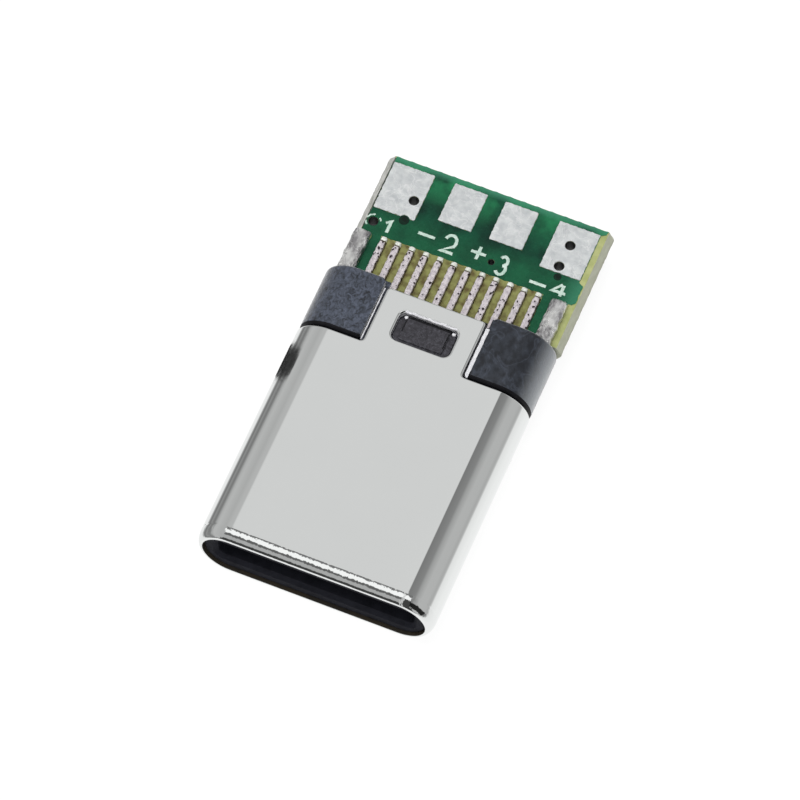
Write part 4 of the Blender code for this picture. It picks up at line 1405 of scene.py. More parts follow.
@dataclass
class ContactRow:
    """Twelve stamped contacts on each face: bump, beam, straight run and soldered tail."""

    pitch: float = 0.50
    count: int = 12
    thickness: float = 0.15
    edge: float = 0.030
    tip: float = 2.42
    first_mate: tuple[int, ...] = (1, 4, 9, 12)
    first_lead: float = 0.25
    bump: tuple[tuple[float, float], ...] = ((0.0, 0.541), (0.23, 0.411), (0.42, 0.365), (0.57, 0.382))
    root: tuple[tuple[float, float], ...] = ((4.10, 0.468), (4.35, 0.485))
    tip_widths: tuple[float, float] = (0.14, 0.18)
    root_widths: tuple[float, float] = (0.18, 0.22)
    tail_widths: tuple[float, float] = (0.22, 0.17)
    tail_front: float = 10.8
    tail_wave: float = 0.28
    tail_ripple: float = 0.010
    top_ripple: float = 0.004
    mound_middle: float = 12.512
    mound_sizes: tuple[float, float, float] = (0.112, 0.100, 0.125)
    # A dark film under each tail and a dark block at its end: painted shade.
    outline_shade_half: float = 0.128
    outline_shade_span: tuple[float, float] = (10.97, 12.45)
    outline_shade_levels: tuple[float, float] = (BOARD_TOP + 0.001, BOARD_TOP + 0.009)
    outline_shade_round: float = 0.003
    end_shade_half: float = 0.098
    end_shade_span: tuple[float, float] = (12.30, 12.44)
    end_shade_levels: tuple[float, float] = (BOARD_TOP + 0.002, BOARD_TOP + 0.13)
    end_shade_round: float = 0.02
    shade_corner: float = 0.03

    def places(self) -> np.ndarray:
        """Place across the plug of each contact."""
        return (np.arange(self.count) - (self.count - 1) / 2) * self.pitch

    def centre_line(self, tip: float) -> np.ndarray:
        """Points along the middle of a contact, level with straight lines between its knots.

        Args:
            tip: place of the contact's front end.

        Returns:
            Place along the plug and level of each ring, n by 2.
        """
        end, level = self.root[-1]
        bump = [(tip + along, height) for along, height in self.bump]
        knots = np.array([*bump, *self.root, (BOARD_FRONT, level), (TAIL_END, level)])
        y = np.concatenate([np.linspace(tip, tip + 0.6, 9), np.linspace(tip + 0.75, end, 8),
                            [4.6, 7.6, 10.4], np.linspace(10.7, TAIL_END, 34)])
        return np.stack([y, np.interp(y, *knots.T)], 1)

    def strip(self, x: float, tip: float, seed: int) -> np.ndarray:
        """Rings round one contact.

        Each ring is a rounded rectangle: the half width and half thickness less the edge
        radius, plus the radius times the cosine and sine of the turn. On the tail the width
        and the upper face ripple, as reflowed tin does.

        Args:
            x: place across the plug.
            tip: place of the contact's front end.
            seed: seed of its ripples.

        Returns:
            Rings by points by 3.
        """
        line = self.centre_line(tip)
        y, z = line[:, 0, None], line[:, 1, None]
        (start, _), (end, _) = self.root
        width = np.interp(y, [tip, tip + 0.1, start, end, TAIL_END - 0.1, TAIL_END],
                          [*self.tip_widths, *self.root_widths, *self.tail_widths])
        tail = np.clip((y - self.tail_front) / 0.3, 0.0, 1.0)
        turn = np.linspace(0.0, 2 * np.pi, 16, endpoint=False) + np.pi / 16
        cos, sin = np.cos(turn), np.sin(turn)
        sway = tail * self.tail_ripple * ripple(y + 0.6 * (cos > 0), seed, self.tail_wave)
        across = np.sign(cos) * (width / 2 - self.edge + sway) + self.edge * cos
        rise = tail * self.top_ripple * ripple(y + 0.1 * cos, seed + 50, self.tail_wave) * (sin > 0)
        up = np.sign(sin) * (self.thickness / 2 - self.edge) + self.edge * sin + rise
        slope = np.gradient(line[:, 1], line[:, 0])[:, None]
        lean = np.sqrt(1 + slope**2)
        return np.stack([x + across, y - up * slope / lean, z + up / lean], -1)

    def tip_mound(self, x: float, seed: int) -> np.ndarray:
        """Rings of the solder at the tail's end: a low uneven cushion on the board.

        A ring is half a super-ellipse, the cosine and sine each raised to a power of 0.6.
        Along the tail its size follows the root of the sine, and its place the cosine raised
        to 0.8.

        Args:
            x: place across the plug.
            seed: seed of its dents.

        Returns:
            Rings by points by 3.
        """
        half, reach, height = self.mound_sizes
        rows = np.linspace(0.0, np.pi, 9)[:, None]
        turn = np.linspace(0.0, np.pi, 11)[None, :]
        swell = np.sin(rows).clip(0.04) ** 0.5 * (1 + 0.10 * ripple(turn + rows, seed, 1.9))
        y = self.mound_middle - reach * np.sign(np.cos(rows)) * np.abs(np.cos(rows)) ** 0.8 + 0.0 * turn
        across = half * np.sign(np.cos(turn)) * np.abs(np.cos(turn)) ** 0.6 * swell
        up = BOARD_TOP + 0.006 + height * np.sin(turn) ** 0.6 * swell
        return np.stack([x + across, y, up], -1)

    def build(self) -> None:
        """Build both rows: the lower one is the upper one turned half a turn about the plug's length.

        Under each tail lie a dark film and a dark block, painted shade beside the tail and in the crevice
        behind its end, and at its end a mound of solder.
        """
        for row, face in zip("ab", FACES):
            mounds, shade_films = Skin(), Skin()
            for number, x in enumerate(self.places(), start=1):
                tip = self.tip - (self.first_lead if number in self.first_mate else 0.0)
                skin = Skin()
                skin.add_tube(self.strip(x, tip, 31 * number + (7 if face < 0 else 0)) * (face, 1, face))
                skin.piece(f"tinned_contact_{row}{number:02d}", Slot.CONTACT, TAIL_TIN,
                           replaces=(f"contact_{row}{number:02d}",))
                mounds.add_tube(self.tip_mound(x, 11 * number + face) * (face, 1, face))
                # The film and the block are painted shade.
                film, foot = (
                    rectangle(face * x - half, face * x + half, *span, self.shade_corner)
                    for half, span in ((self.outline_shade_half, self.outline_shade_span), (self.end_shade_half, self.end_shade_span))
                )
                film = uneven(film, Roughness(0.008, 0.25, 5 * number))
                shade_films.add_plate(film, *sorted(face * level for level in self.outline_shade_levels), self.outline_shade_round)
                shade_films.add_plate(foot, *sorted(face * level for level in self.end_shade_levels), self.end_shade_round)
            mounds.piece(f"tail_end_solder_{row}", Slot.SOLDER, TIP_SOLDER)
            shade_films.piece(f"tail_flux_{row}", Slot.LAMINATE, TAIL_SHADE)


class Hole(NamedTuple):
    """Hole of the board: its middle and its radius."""

    x: float
    y: float
    radius: float = 0.176

    def ring(self, extra: float = 0.0) -> np.ndarray:
        """Outline of the hole, grown by some extra."""
        return circle(self.x, self.y, self.radius + extra)


class Pad(NamedTuple):
    """Wire pad: its name, its sides and its front edge."""

    name: str
    left: float
    right: float
    front: float


@dataclass
class WireBoard:
    """Scored circuit board with solder mask, four wire pads and plated holes."""

    left: float = -3.63
    right: float = 4.02
    bulges: tuple[float, float] = (0.23, 0.175)
    edge_profile: tuple[tuple[float, float], ...] = (
        (BOARD_TOP, 0.0), (0.385, 0.03), (0.25, 0.42), (0.14, 0.78), (0.06, 1.0),
    )
    side_spacing: float = 0.09
    fibre: float = 0.022
    fibre_wave: float = 0.5
    fibre_shares: tuple[float, float] = (0.8, 1.2)
    calm_share: float = 0.3
    film_base: float = 0.001
    mask: float = 0.022
    mask_round: float = 0.009
    mask_edges: tuple[Roughness, ...] = (Roughness(0.014, 0.5, 3), Roughness(0.010, 0.6, 4))
    mask_front: float = 10.96
    upper_left: float = -3.590
    upper_right: tuple[tuple[float, float], ...] = (
        (3.88, 12.60), (3.98, 12.72), (3.97, 13.40), (3.80, 13.50), (3.80, 15.40), (3.97, 15.50),
        (3.98, 15.640),
    )
    lower_sides: tuple[float, float] = (-3.570, 3.97)
    lower_rear: float = 15.635
    pad_gap: float = 0.004
    open_gap: float = 0.002
    hole_gap: float = 0.012
    field_half: float = 2.88
    field_rear: float = 12.63
    leg_half: float = 3.20
    leg_rear: float = 12.60
    brown_half: float = 2.86
    brown_rear: float = 12.62
    brown_levels: tuple[float, float] = (BOARD_TOP - 0.01, BOARD_TOP + 0.0008)
    brown_round: float = 0.0003
    # A dark line along the left edge, beside the left pad: painted shade.
    edge_shade_sides: tuple[float, float] = (0.002, 0.052)
    edge_shade_rear: float = BOARD_REAR - 0.06
    edge_shade_levels: tuple[float, float] = (BOARD_TOP - 0.02, BOARD_TOP + 0.005)
    edge_shade_round: float = 0.004
    edge_shade_rough: Roughness = Roughness(0.006, 0.4, 70)
    pad_levels: tuple[float, float] = (BOARD_TOP + 0.002, 0.445)
    pad_rear: float = 15.42
    pad_corner: float = 0.05
    pad_round: float = 0.018
    bay_gap: float = 0.02
    pads: tuple[Pad, ...] = (
        Pad("left_outer", -3.575, -2.11, 13.56), Pad("left_inner", -1.40, -0.22, 13.89),
        Pad("right_inner", 0.42, 1.60, 13.89), Pad("right_outer", 2.35, 3.795, 13.56),
    )
    holes: tuple[Hole, ...] = (
        Hole(-2.41, 14.27), Hole(-2.43, 13.46), Hole(-3.36, 13.05), Hole(3.01, 14.67), Hole(2.96, 13.81),
        Hole(0.83, 13.10, 0.115),
    )
    open_holes: tuple[Hole, ...] = (holes[2], holes[5])
    masked_holes: tuple[Hole, ...] = (holes[1], Hole(3.06, 13.415, 0.135))
    plug_depth: float = 0.05
    plug_rise: float = 0.004
    plug_round: float = 0.01
    plating_walls: tuple[float, float] = (-0.001, -0.018)
    plating_reach: float = BOARD_TOP + 0.004

    def pad_outline(self, pad: Pad, grow: float = 0.0) -> np.ndarray:
        """Outline of a wire pad, with a bay in its front edge round a masked hole.

        Args:
            pad: the pad.
            grow: distance that its edges are moved outwards.

        Returns:
            Closed outline.
        """
        rear, corner = self.pad_rear + grow, self.pad_corner
        left, right, front = pad.left - grow, pad.right + grow, pad.front - grow
        outline = rounded([(left, rear, corner), (left, front, corner), (right, front, corner),
                           (right, rear, corner)], 4)
        for hole in self.masked_holes:
            reach = hole.radius + self.bay_gap
            if left < hole.x < right and abs(front - hole.y) < reach:
                half = math.acos((front - hole.y) / reach)
                turn = np.linspace(np.pi / 2 + half, np.pi / 2 - half, 11)
                bay = np.stack([hole.x + reach * np.cos(turn), hole.y + reach * np.sin(turn)], 1)
                return np.concatenate([outline[:10], bay, outline[10:]])
        return outline

    def build_laminate(self) -> None:
        """Build the bare board.

        Its side walls are rows of the outline: out from the upper face to the snapped land at
        mid thickness and in again, with the land and the slopes rippled as broken fibre is.
        """
        base = spread(rectangle(self.left, self.right, BOARD_FRONT, BOARD_REAR), self.side_spacing)
        along = travelled(base)
        side = np.sign(base[:, 0] - (self.left + self.right) / 2)
        end = np.sign(base[:, 1] - (BOARD_FRONT + BOARD_REAR) / 2)
        on_side = np.minimum(abs(base[:, 0] - self.left), abs(base[:, 0] - self.right)) < 1e-6
        bulge = np.where(side < 0, *self.bulges)
        profile = [*self.edge_profile, *((-level, share) for level, share in self.edge_profile[::-1])]
        side_share, end_share = self.fibre_shares
        rows = []
        for seed, (level, share) in enumerate(profile, start=40):
            rough = abs(self.fibre * ripple(along, seed, self.fibre_wave, 5))
            rough *= 1.0 if share else self.calm_share
            x = base[:, 0] + side * on_side * (bulge * share - rough * side_share)
            y = base[:, 1] - end * ~on_side * rough * end_share
            rows.append(np.stack([x, y, np.full_like(x, level)], 1))
        grid = np.stack(rows)
        skin = Skin()
        skin.add_grid(grid, ring=True, finish=2)
        walls = [np.stack([lift(hole.ring()[::-1], level) for level in (BOARD_TOP, -BOARD_TOP)])
                 for hole in self.holes]
        for row in (0, -1):
            skin.add_cap([grid[row], *(wall[row] for wall in walls)], finish=1)
        for wall in walls:
            skin.add_grid(wall, ring=True)
        skin.piece("scored_board", Slot.LAMINATE, BARE_LAMINATE, EDGE_LAMINATE, SNAPPED_FIBRE,
                   replaces=("circuit_board",))

    def build_surface(self) -> None:
        """Build what lies on each face: the browned field of the tails, and the dark line along the left
        edge, which is painted shade.
        """
        skin = Skin()
        field = rectangle(-self.brown_half, self.brown_half, BOARD_FRONT + 0.005, self.brown_rear)
        skin.add_pair(field, *self.brown_levels, self.brown_round)
        skin.piece("browned_tail_field", Slot.LAMINATE, BARE_LAMINATE)
        # The dark line along the left edge is painted shade.
        skin = Skin()
        near, far = self.edge_shade_sides
        painted_shade = rectangle(self.left + near, self.left + far, self.brown_rear, self.edge_shade_rear)
        skin.add_pair(uneven(painted_shade, self.edge_shade_rough), *self.edge_shade_levels, self.edge_shade_round)
        skin.piece("left_edge_shade_line", Slot.LAMINATE, LEFT_EDGE_SHADE)

    def build_mask(self) -> None:
        """Build the solder mask: a thin sheet on each face, open over pads, tails and legs."""
        front, leg, leg_rear = self.mask_front, self.leg_half, self.leg_rear
        field = [(-self.field_half, front), (-self.field_half, self.field_rear),
                 (self.field_half, self.field_rear), (self.field_half, front)]
        left, rear = self.upper_left, self.upper_right[-1][1]
        upper = np.array([(left, leg_rear), (-leg, leg_rear), (-leg, front), *field, (leg, front),
                          (leg, leg_rear), *self.upper_right, (left, rear)])
        (left, right), rear = self.lower_sides, self.lower_rear
        lower = np.array([(left, front), *field, (right, front), (right, rear), (left, rear)])
        low, high = BOARD_TOP + self.film_base, BOARD_TOP + self.mask
        upper_edge, lower_edge = self.mask_edges
        openings = (*(self.pad_outline(pad, self.pad_gap) for pad in self.pads),
                    *(hole.ring(self.open_gap) for hole in self.open_holes))
        drilled = tuple(hole.ring(self.hole_gap) for hole in self.holes)
        skin = Skin()
        skin.add_plate(uneven(upper, upper_edge), low, high, self.mask_round, openings)
        skin.add_plate(uneven(lower, lower_edge), -high, -low, self.mask_round, drilled)
        skin.piece("solder_mask", Slot.LAMINATE, GREEN_MASK)
        skin = Skin()
        for hole in self.masked_holes:
            skin.add_plate(hole.ring(), BOARD_TOP - self.plug_depth, high + self.plug_rise, self.plug_round)
        skin.piece("masked_hole_plugs", Slot.LAMINATE, PLUGGED_MASK)

    def build_pads(self) -> None:
        """Build the four wire pads, each a plate with an uneven edge and its holes."""
        for index, pad in enumerate(self.pads):
            outline = uneven(self.pad_outline(pad), Roughness(0.011, 0.30, 20 + index))
            inside = tuple(hole.ring() for hole in self.holes
                           if pad.left < hole.x < pad.right and hole.y - hole.radius > pad.front)
            skin = Skin()
            skin.add_plate(outline, *self.pad_levels, self.pad_round, inside)
            skin.piece(f"tinned_{pad.name}_pad", Slot.CONTACT, PAD_TIN, replaces=(f"{pad.name}_wire_pad",))

    def build_barrels(self) -> None:
        """Build the plated walls of the holes: a thin tube in each, as rings of its section, near black as
        painted shade.
        """
        skin = Skin()
        (outer, inner), reach = self.plating_walls, self.plating_reach
        corners = ((outer, -reach), (outer, reach), (inner, reach), (inner, -reach), (outer, -reach))
        for hole in self.holes:
            skin.add_grid(np.stack([lift(hole.ring(extra), level) for extra, level in corners]), ring=True)
        skin.piece("hole_plating", Slot.CONTACT, HOLE_SHADE)

    def build(self) -> None:
        """Build every piece of the board."""
        self.build_laminate()
        self.build_surface()
        self.build_mask()
        self.build_pads()
        self.build_barrels()


class Mark(NamedTuple):
    """Printed mark: the place of its lower left corner, its size and its strokes on a unit square."""

    left: float
    low: float
    width: float
    height: float
    strokes: list[list[tuple[float, float]]]


@dataclass
class Legend:
    """Printed marks of the board: polarity signs and plain numerals for the four wires."""

    stroke: float = 0.108
    mitre: float = 1.6
    thickness: float = 0.010
    base: float = BOARD_TOP + 0.0225
    ring_stroke: float = 0.055
    ring_gap: float = 0.07
    ring_arcs: tuple[tuple[int, int], ...] = ((95, 170), (195, 232), (18, 48))
    edge_height: float = 0.006
    edge_waves: tuple[float, float] = (0.2, 0.15)
    edge_round: float = 0.003

    @staticmethod
    def arc(x: float, y: float, radius: float, start: float, end: float) -> list[tuple[float, float]]:
        """Points of an arc between two directions in degrees."""
        turn = np.radians(np.linspace(start, end, 12))
        return list(zip(x + radius * np.cos(turn), y + radius * np.sin(turn)))

    def marks(self) -> list[Mark]:
        """Draw the marks.

        Returns:
            Every mark, from left to right.
        """
        one = [[(0.2, 0.72), (0.55, 1.0), (0.55, 0.0)]]
        two = [[*self.arc(0.5, 0.68, 0.42, 165, -35), (0.05, 0.0), (1.0, 0.0)]]
        three = [self.arc(0.42, 0.76, 0.29, 150, -85), self.arc(0.42, 0.27, 0.34, 80, -150)]
        four = [[(0.72, 0.0), (0.72, 0.96)], [(0.62, 1.0), (0.02, 0.30), (1.05, 0.30)]]
        minus = [[(0.0, 0.5), (1.0, 0.5)]]
        plus = [*minus, [(0.5, 0.0), (0.5, 1.0)]]
        return [
            Mark(-3.02, 12.80, 0.42, 0.46, one), Mark(-1.82, 12.98, 0.60, 0.46, minus),
            Mark(-0.92, 12.88, 0.46, 0.60, two), Mark(0.06, 13.00, 0.52, 0.50, plus),
            Mark(1.02, 12.80, 0.46, 0.62, three), Mark(2.26, 12.70, 0.58, 0.44, minus),
            Mark(3.06, 12.76, 0.46, 0.44, four),
        ]

    def build(self) -> None:
        """Build each stroke as a thin plate, and the broken ring round the open hole."""
        skin = Skin()
        lines = [np.array(path) * (mark.width, mark.height) + (mark.left, mark.low)
                 for mark in self.marks() for path in mark.strokes]
        for seed, line in enumerate(lines, start=61):
            edge = Roughness(self.edge_height, self.edge_waves[0], seed)
            outline = uneven(stroked(line, self.stroke, self.mitre), edge)
            top = self.base + self.thickness + 0.001 * (seed % 2)
            skin.add_plate(outline, self.base, top, self.edge_round)
        hole = WireBoard.open_holes[0]
        for start, end in self.ring_arcs:
            line = np.array(self.arc(hole.x, hole.y, hole.radius + self.ring_gap, start, end))
            edge = Roughness(self.edge_height, self.edge_waves[1], start)
            skin.add_plate(uneven(stroked(line, self.ring_stroke), edge), self.base,
                           self.base + self.thickness, self.edge_round)
        skin.piece("printed_marks", Slot.LAMINATE, LEGEND_INK)


@dataclass
class LegSolder:
    """Hand solder over each latch leg, down onto the board."""

    front: float = 10.80
    rear: float = 12.60
    half: float = 0.29
    top: float = 0.75
    corner_power: float = 0.45
    dent_depths: tuple[float, float] = (0.07, 0.05)
    toe_share: float = 0.12
    toe_drop: float = 0.20
    heel_drop: float = 0.16
    joints: tuple[tuple[str, float, int], ...] = (
        ("left", -LEG_CENTRE, 90), ("right", LEG_CENTRE + 0.03, 94),
    )

    def lump(self, centre: float, seed: int) -> np.ndarray:
        """Rings along the leg.

        A ring is half a super-ellipse, the cosine and sine of the turn each raised to a power,
        cut flat at the board. Its size drops a little at the front end and steeply at the
        rear one, and ripples on the way.

        Args:
            centre: place across the plug.
            seed: seed of its dents.

        Returns:
            Rings by points by 3.
        """
        y = np.linspace(self.front, self.rear, 40)[:, None]
        turn = np.linspace(0.0, np.pi, 25)[None, :]
        share = (y - self.front) / (self.rear - self.front)
        ends = np.clip((1 - share**18) ** 0.5, 0.06, 1.0)
        cos, sin = np.cos(turn), np.sin(turn)
        large, small = self.dent_depths
        dents = large * ripple(y + 0.5 * cos, seed, 0.7) + small * ripple(y * 0.6 - 0.7 * cos, seed + 1, 0.3)
        reach = self.half * (0.8 + 0.2 * ends) * (1 + dents * 0.7)
        across = np.sign(cos) * np.abs(cos) ** self.corner_power * reach
        toe = 1 - np.clip(share / self.toe_share, 0.0, 1.0)
        swell = 1 - self.toe_drop * toe - self.heel_drop * share
        height = (self.top - BOARD_TOP) * swell * (1 + dents)
        up = BOARD_TOP + 0.004 + sin**self.corner_power * height * ends
        return np.stack([centre + across, y + 0.0 * turn, up], -1)

    def build(self) -> None:
        """Build both joints."""
        for side, centre, seed in self.joints:
            skin = Skin()
            skin.add_tube(self.lump(centre, seed))
            skin.piece(f"{side}_leg_joint", Slot.SOLDER, LEG_SOLDER, replaces=(f"{side}_leg_solder",))


@dataclass
class CarriedSolids:
    """Solids of the frame that keep their own shape and only get a finish."""

    finishes: tuple[tuple[str, Finish], ...] = (
        ("front_housing", MOUTH_POLYMER), ("upper_carrier", BLACK_POLYMER_AND_SHADE), ("lower_carrier", BLACK_POLYMER_AND_SHADE),
        ("latch_plate", ROLLED_SPRING), ("upper_ground_spring", ROLLED_SPRING),
        ("lower_ground_spring", ROLLED_SPRING), ("upper_film", AMBER_FILM), ("lower_film", AMBER_FILM),
    )

    def build(self) -> None:
        """Put each finish in its solid's material slots."""
        for name, finish in self.finishes:
            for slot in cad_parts[name].material_slots:
                slot.link = "OBJECT"
                slot.material = finish.material()
            log.info("%s: %s", name, finish.name)


class Lamp(NamedTuple):
    """Round soft lamp: its name, its place, its width and its power."""

    name: str
    place: tuple[float, float, float]
    width: float
    power: float


# Brightness over the angle from straight up to the right: floor, two dark edges, left wall,
# overhead card, gap, right wall and floor.
CARDS_AROUND = (
    (-180, 1.0), (-121, 0.93), (-115, 0.42), (-109, 0.22), (-104, 0.23), (-99, 0.33), (-93, 0.26),
    (-87, 0.22), (-82, 0.33), (-75, 0.50), (-66, 0.55), (-52, 0.51), (-41, 0.48), (-30, 0.53),
    (-20.5, 0.54), (-18.5, 0.68), (-15, 0.745), (6.5, 0.755), (8.0, 0.225), (30, 0.27), (38, 0.40),
    (54, 0.525), (76, 0.52), (86, 0.47), (91, 0.50), (98, 0.90), (125, 0.99), (180, 1.0),
)

# Share of those surroundings that a black flag in front leaves, over the same angle.
FLAG_AHEAD = ((0, 1.0), (4, 0.04), (84, 0.04), (92, 1.0))


@dataclass
class Studio:
    """Camera, pale floor, soft lamps and the surroundings that the bright shell mirrors."""

    azimuth: float = 22.58
    elevation: float = 61.84
    distance: float = 196.08
    lens: float = 270.0
    aim: tuple[float, float, float] = (0.0, 8.0, 0.0)
    shift: tuple[float, float] = (0.28, 0.48)
    card_middle: float = -0.06
    card_half: float = 0.48
    card_gap: float = 0.032
    walls_ahead: tuple[float, float] = (0.47, 0.06)
    wall_split: float = 0.03
    front_begins: tuple[float, float] = (-23.4, -22.8)
    flag_begins: tuple[float, float] = (0.03, 0.09)
    flag_ends: tuple[float, float] = (0.59, 0.61)
    drop_along: tuple[float, float] = (0.4336, 0.0028)
    drop_across: tuple[float, float] = (-122, 52)
    drop_edge: tuple[float, float] = (0.85, 1.1)
    floor_level: float = -1.21
    floor_reach: float = 600.0
    floor_glow: float = 0.91
    lamps: tuple[Lamp, ...] = (
        Lamp("overhead_lamp", (-30.0, 10.0, 160.0), 140.0, 0.16),
        Lamp("front_lamp", (60.0, -140.0, 120.0), 120.0, 0.10),
    )

    def build_camera(self) -> None:
        """Stand the camera back from the aim along the photograph's direction of view."""
        a, e = math.radians(self.azimuth), math.radians(self.elevation)
        forward = np.array([-math.sin(a) * math.cos(e), math.cos(a) * math.cos(e), -math.sin(e)])
        right = np.array([math.cos(a), math.sin(a), 0.0])
        up = np.cross(right, forward)
        place = np.array(self.aim) - forward * self.distance - right * self.shift[0] - up * self.shift[1]
        data = bpy.data.cameras.new("camera")
        data.lens, data.sensor_width = self.lens, 36.0
        data.clip_start, data.clip_end = 0.01, 10.0
        camera = bpy.data.objects.new("camera", data)
        camera.location = seat(place)
        camera.rotation_euler = (math.pi / 2 - e, 0.0, a)
        bpy.context.scene.collection.objects.link(camera)
        bpy.context.scene.camera = camera

    def build_world(self) -> None:
        """Surround the object with a grey studio whose cards show in the bright shell.

        For a direction, one angle is measured about the plug's length, from straight up to
        the right, and the other about its width, from straight up to the front. Round the
        plug the brightness is a ramp over the first angle. In front, where the direction's
        share to the right is near that of the view, it is a ramp over the second.
        """
        world = bpy.data.worlds.new("studio")
        bpy.context.scene.world = world
        world.use_nodes = True
        tree = world.node_tree
        tree.nodes.clear()
        place = add_node(tree, "TexCoord").outputs["Generated"]
        axes = add_node(tree, "SeparateXYZ", {"Vector": place}).outputs
        to_front = add_node(tree, "Math", {0: axes["Y"], 1: -1.0}, operation="MULTIPLY").outputs[0]
        across = add_node(tree, "Math", {0: axes["X"], 1: axes["Z"]}, operation="ARCTAN2").outputs[0]
        along = add_node(tree, "Math", {0: to_front, 1: axes["Z"]}, operation="ARCTAN2").outputs[0]
        ramps = []
        for angle, cards in ((across, CARDS_AROUND), (across, FLAG_AHEAD),
                             *((along, self.cards_ahead(wall)) for wall in self.walls_ahead)):
            share = add_node(tree, "MapRange", {"Value": angle, "From Min": -math.pi, "From Max": math.pi})
            stops = [((degrees + 180) / 360, (level, level, level, 1.0)) for degrees, level in cards]
            ramps.append(add_node(tree, "ValToRGB", {"Fac": share.outputs[0]}, stops).outputs["Color"])
        around, flag, left_ahead, right_ahead = ramps
        begun, toward, past = (
            add_node(tree, "MapRange", {"Value": value, "From Min": low, "From Max": high}).outputs[0]
            for value, (low, high) in ((along, np.radians(self.front_begins)), (to_front, self.flag_begins),
                                       (to_front, self.flag_ends))
        )
        near, gap = (
            add_node(tree, "Math", {0: axes["X"], 1: middle, 2: half}, operation="COMPARE").outputs[0]
            for middle, half in ((self.card_middle, self.card_half), (0.0, self.card_gap))
        )
        aside = add_node(tree, "Math", {0: near, 1: gap}, operation="SUBTRACT").outputs[0]
        ahead = add_node(tree, "Math", {0: begun, 1: aside}, operation="MULTIPLY").outputs[0]
        facing = add_node(tree, "Math", {0: toward, 1: past}, operation="SUBTRACT").outputs[0]
        right = add_node(tree, "Math", {
            0: axes["X"], 1: self.wall_split,
        }, operation="GREATER_THAN").outputs[0]
        flagged = add_node(tree, "Mix", {"Factor": facing, "A": around, "B": flag}, data_type="RGBA",
                           blend_type="MULTIPLY").outputs["Result"]
        seen_ahead = add_node(tree, "Mix", {
            "Factor": right, "A": left_ahead, "B": right_ahead,
        }, data_type="RGBA").outputs["Result"]
        cards = add_node(tree, "Mix", {
            "Factor": ahead, "A": flagged, "B": seen_ahead,
        }, data_type="RGBA").outputs["Result"]
        studio = add_node(tree, "Mix", {
            "Factor": self.drop(tree, axes["Y"], across), "A": cards, "B": (0.03, 0.03, 0.03, 1.0),
        }, data_type="RGBA").outputs["Result"]
        light = add_node(tree, "Background", {"Color": studio, "Strength": 1.0})
        white = add_node(tree, "Background", {"Color": (1.0, 1.0, 1.0, 1.0), "Strength": 1.0})
        seen = add_node(tree, "LightPath").outputs["Is Camera Ray"]
        mix = add_node(tree, "MixShader", {0: seen, 1: light.outputs[0], 2: white.outputs[0]})
        add_node(tree, "OutputWorld", {"Surface": mix.outputs[0]})

    def drop(self, tree: Tree, y: Socket, across: Socket) -> Socket:
        """Share of a small black flag low on the left, which the left flank mirrors as a dark drop.

        It covers the directions whose share along the plug and whose angle about it, each
        taken from the flag's middle over its half size, have fourth powers that sum to under one.

        Args:
            tree: node tree of the world.
            y: the direction's share along the plug.
            across: its angle about the plug's length.

        Returns:
            Share from 0 to 1.
        """
        fourths = []
        for value, (middle, half) in ((y, self.drop_along), (across, np.radians(self.drop_across))):
            off = add_node(tree, "Math", {0: value, 1: middle}, operation="SUBTRACT").outputs[0]
            share = add_node(tree, "Math", {0: off, 1: half}, operation="DIVIDE").outputs[0]
            square = add_node(tree, "Math", {0: share, 1: share}, operation="MULTIPLY").outputs[0]
            fourths.append(add_node(tree, "Math", {0: square, 1: square}, operation="MULTIPLY").outputs[0])
        total = add_node(tree, "Math", dict(enumerate(fourths)), operation="ADD").outputs[0]
        inside, outside = self.drop_edge
        return add_node(tree, "MapRange", {
            "Value": total, "From Min": inside, "From Max": outside, "To Min": 1.0, "To Max": 0.0,
        }).outputs[0]

    @staticmethod
    def cards_ahead(wall: float) -> list[tuple[float, float]]:
        """Brightness over the angle to the front: gap, bright card, gap, wall, dark skirting and floor.

        Args:
            wall: brightness of the wall.

        Returns:
            Degrees from straight up, and brightness, at each stop.
        """
        gap = min(0.14, wall)
        return [(-22.4, 0.20), (-15.5, 0.20), (-14, 1.1), (2.5, 1.1), (4, gap), (15, gap),
                (17, wall), (45, wall), (48, 0.06), (94, 0.05), (97, 1.0)]

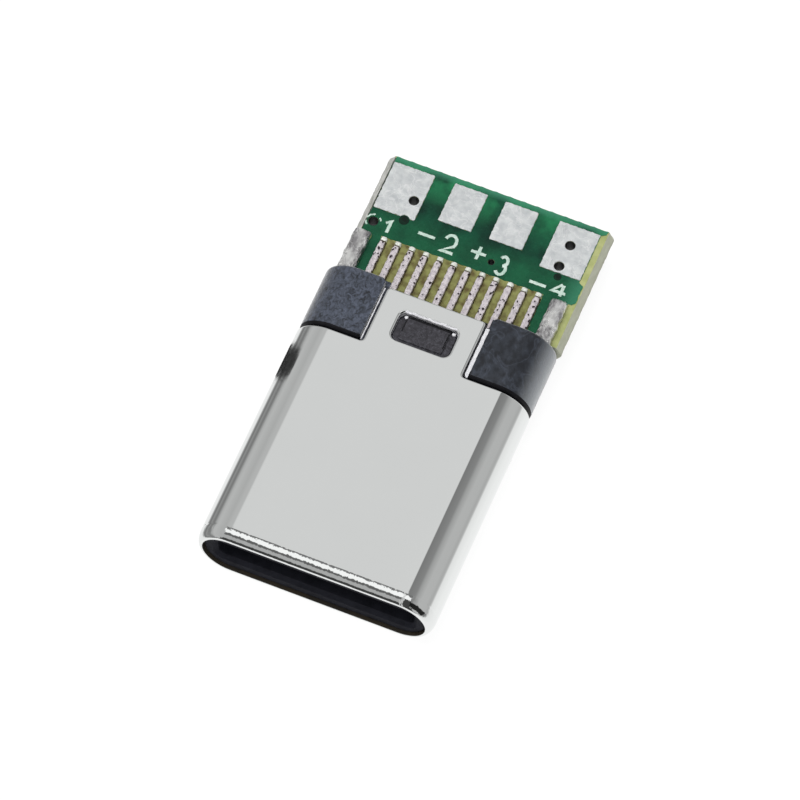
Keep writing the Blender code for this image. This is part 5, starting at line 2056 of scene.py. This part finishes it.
    def build_lamps(self) -> None:
        """Add two large soft lamps that the shell doesn't mirror."""
        for lamp in self.lamps:
            data = bpy.data.lights.new(lamp.name, "AREA")
            data.shape = "DISK"
            data.size = lamp.width * MM
            data.energy = lamp.power
            item = bpy.data.objects.new(lamp.name, data)
            item.location = seat(lamp.place)
            aim = Vector(seat(self.aim)) - item.location
            item.rotation_euler = aim.to_track_quat("-Z", "Y").to_euler()
            item.visible_camera = False
            item.visible_glossy = False
            bpy.context.scene.collection.objects.link(item)

    def build_floor(self) -> None:
        """Lay a pale floor that stays white to the eye and in the metal, and keeps a soft shadow."""
        mesh = bpy.data.meshes.new("floor")
        reach = self.floor_reach
        sheet = lift(rectangle(-reach, reach, -reach, reach), self.floor_level)
        mesh.from_pydata(seat(sheet), [], [range(4)])
        floor = bpy.data.objects.new("floor", mesh)
        bpy.context.scene.collection.objects.link(floor)
        material = bpy.data.materials.new("pale_floor")
        material.use_nodes = True
        tree = material.node_tree
        tree.nodes.clear()
        paper = add_node(tree, "BsdfDiffuse", {"Color": (0.80, 0.80, 0.80, 1.0)})
        thin = add_node(tree, "BsdfDiffuse", {"Color": (0.14, 0.14, 0.14, 1.0)})
        glow = add_node(tree, "Emission", {"Color": (1.0, 1.0, 1.0, 1.0), "Strength": self.floor_glow})
        shown = add_node(tree, "AddShader", {0: thin.outputs[0], 1: glow.outputs[0]})
        ray = add_node(tree, "LightPath").outputs
        bright = ray["Is Camera Ray"]
        for kind in ("Is Glossy Ray", "Is Transmission Ray"):
            bright = add_node(tree, "Math", {0: bright, 1: ray[kind]}, operation="MAXIMUM").outputs[0]
        mix = add_node(tree, "MixShader", {0: bright, 1: paper.outputs[0], 2: shown.outputs[0]})
        add_node(tree, "OutputMaterial", {"Surface": mix.outputs[0]})
        mesh.materials.append(material)
        floor.visible_glossy = False

    def build(self) -> None:
        """Build the whole studio."""
        bpy.context.scene.view_settings.view_transform = "Standard"
        self.build_camera()
        self.build_world()
        self.build_lamps()
        self.build_floor()


def main() -> None:
    """Build every sub-assembly in order."""
    for kind in (PlugShell, RearHousing, ContactRow, WireBoard, Legend, LegSolder, CarriedSolids, Studio):
        log.info("building %s", kind.__name__)
        kind().build()
    bpy.context.view_layer.update()


if __name__ == "__main__":
    main()
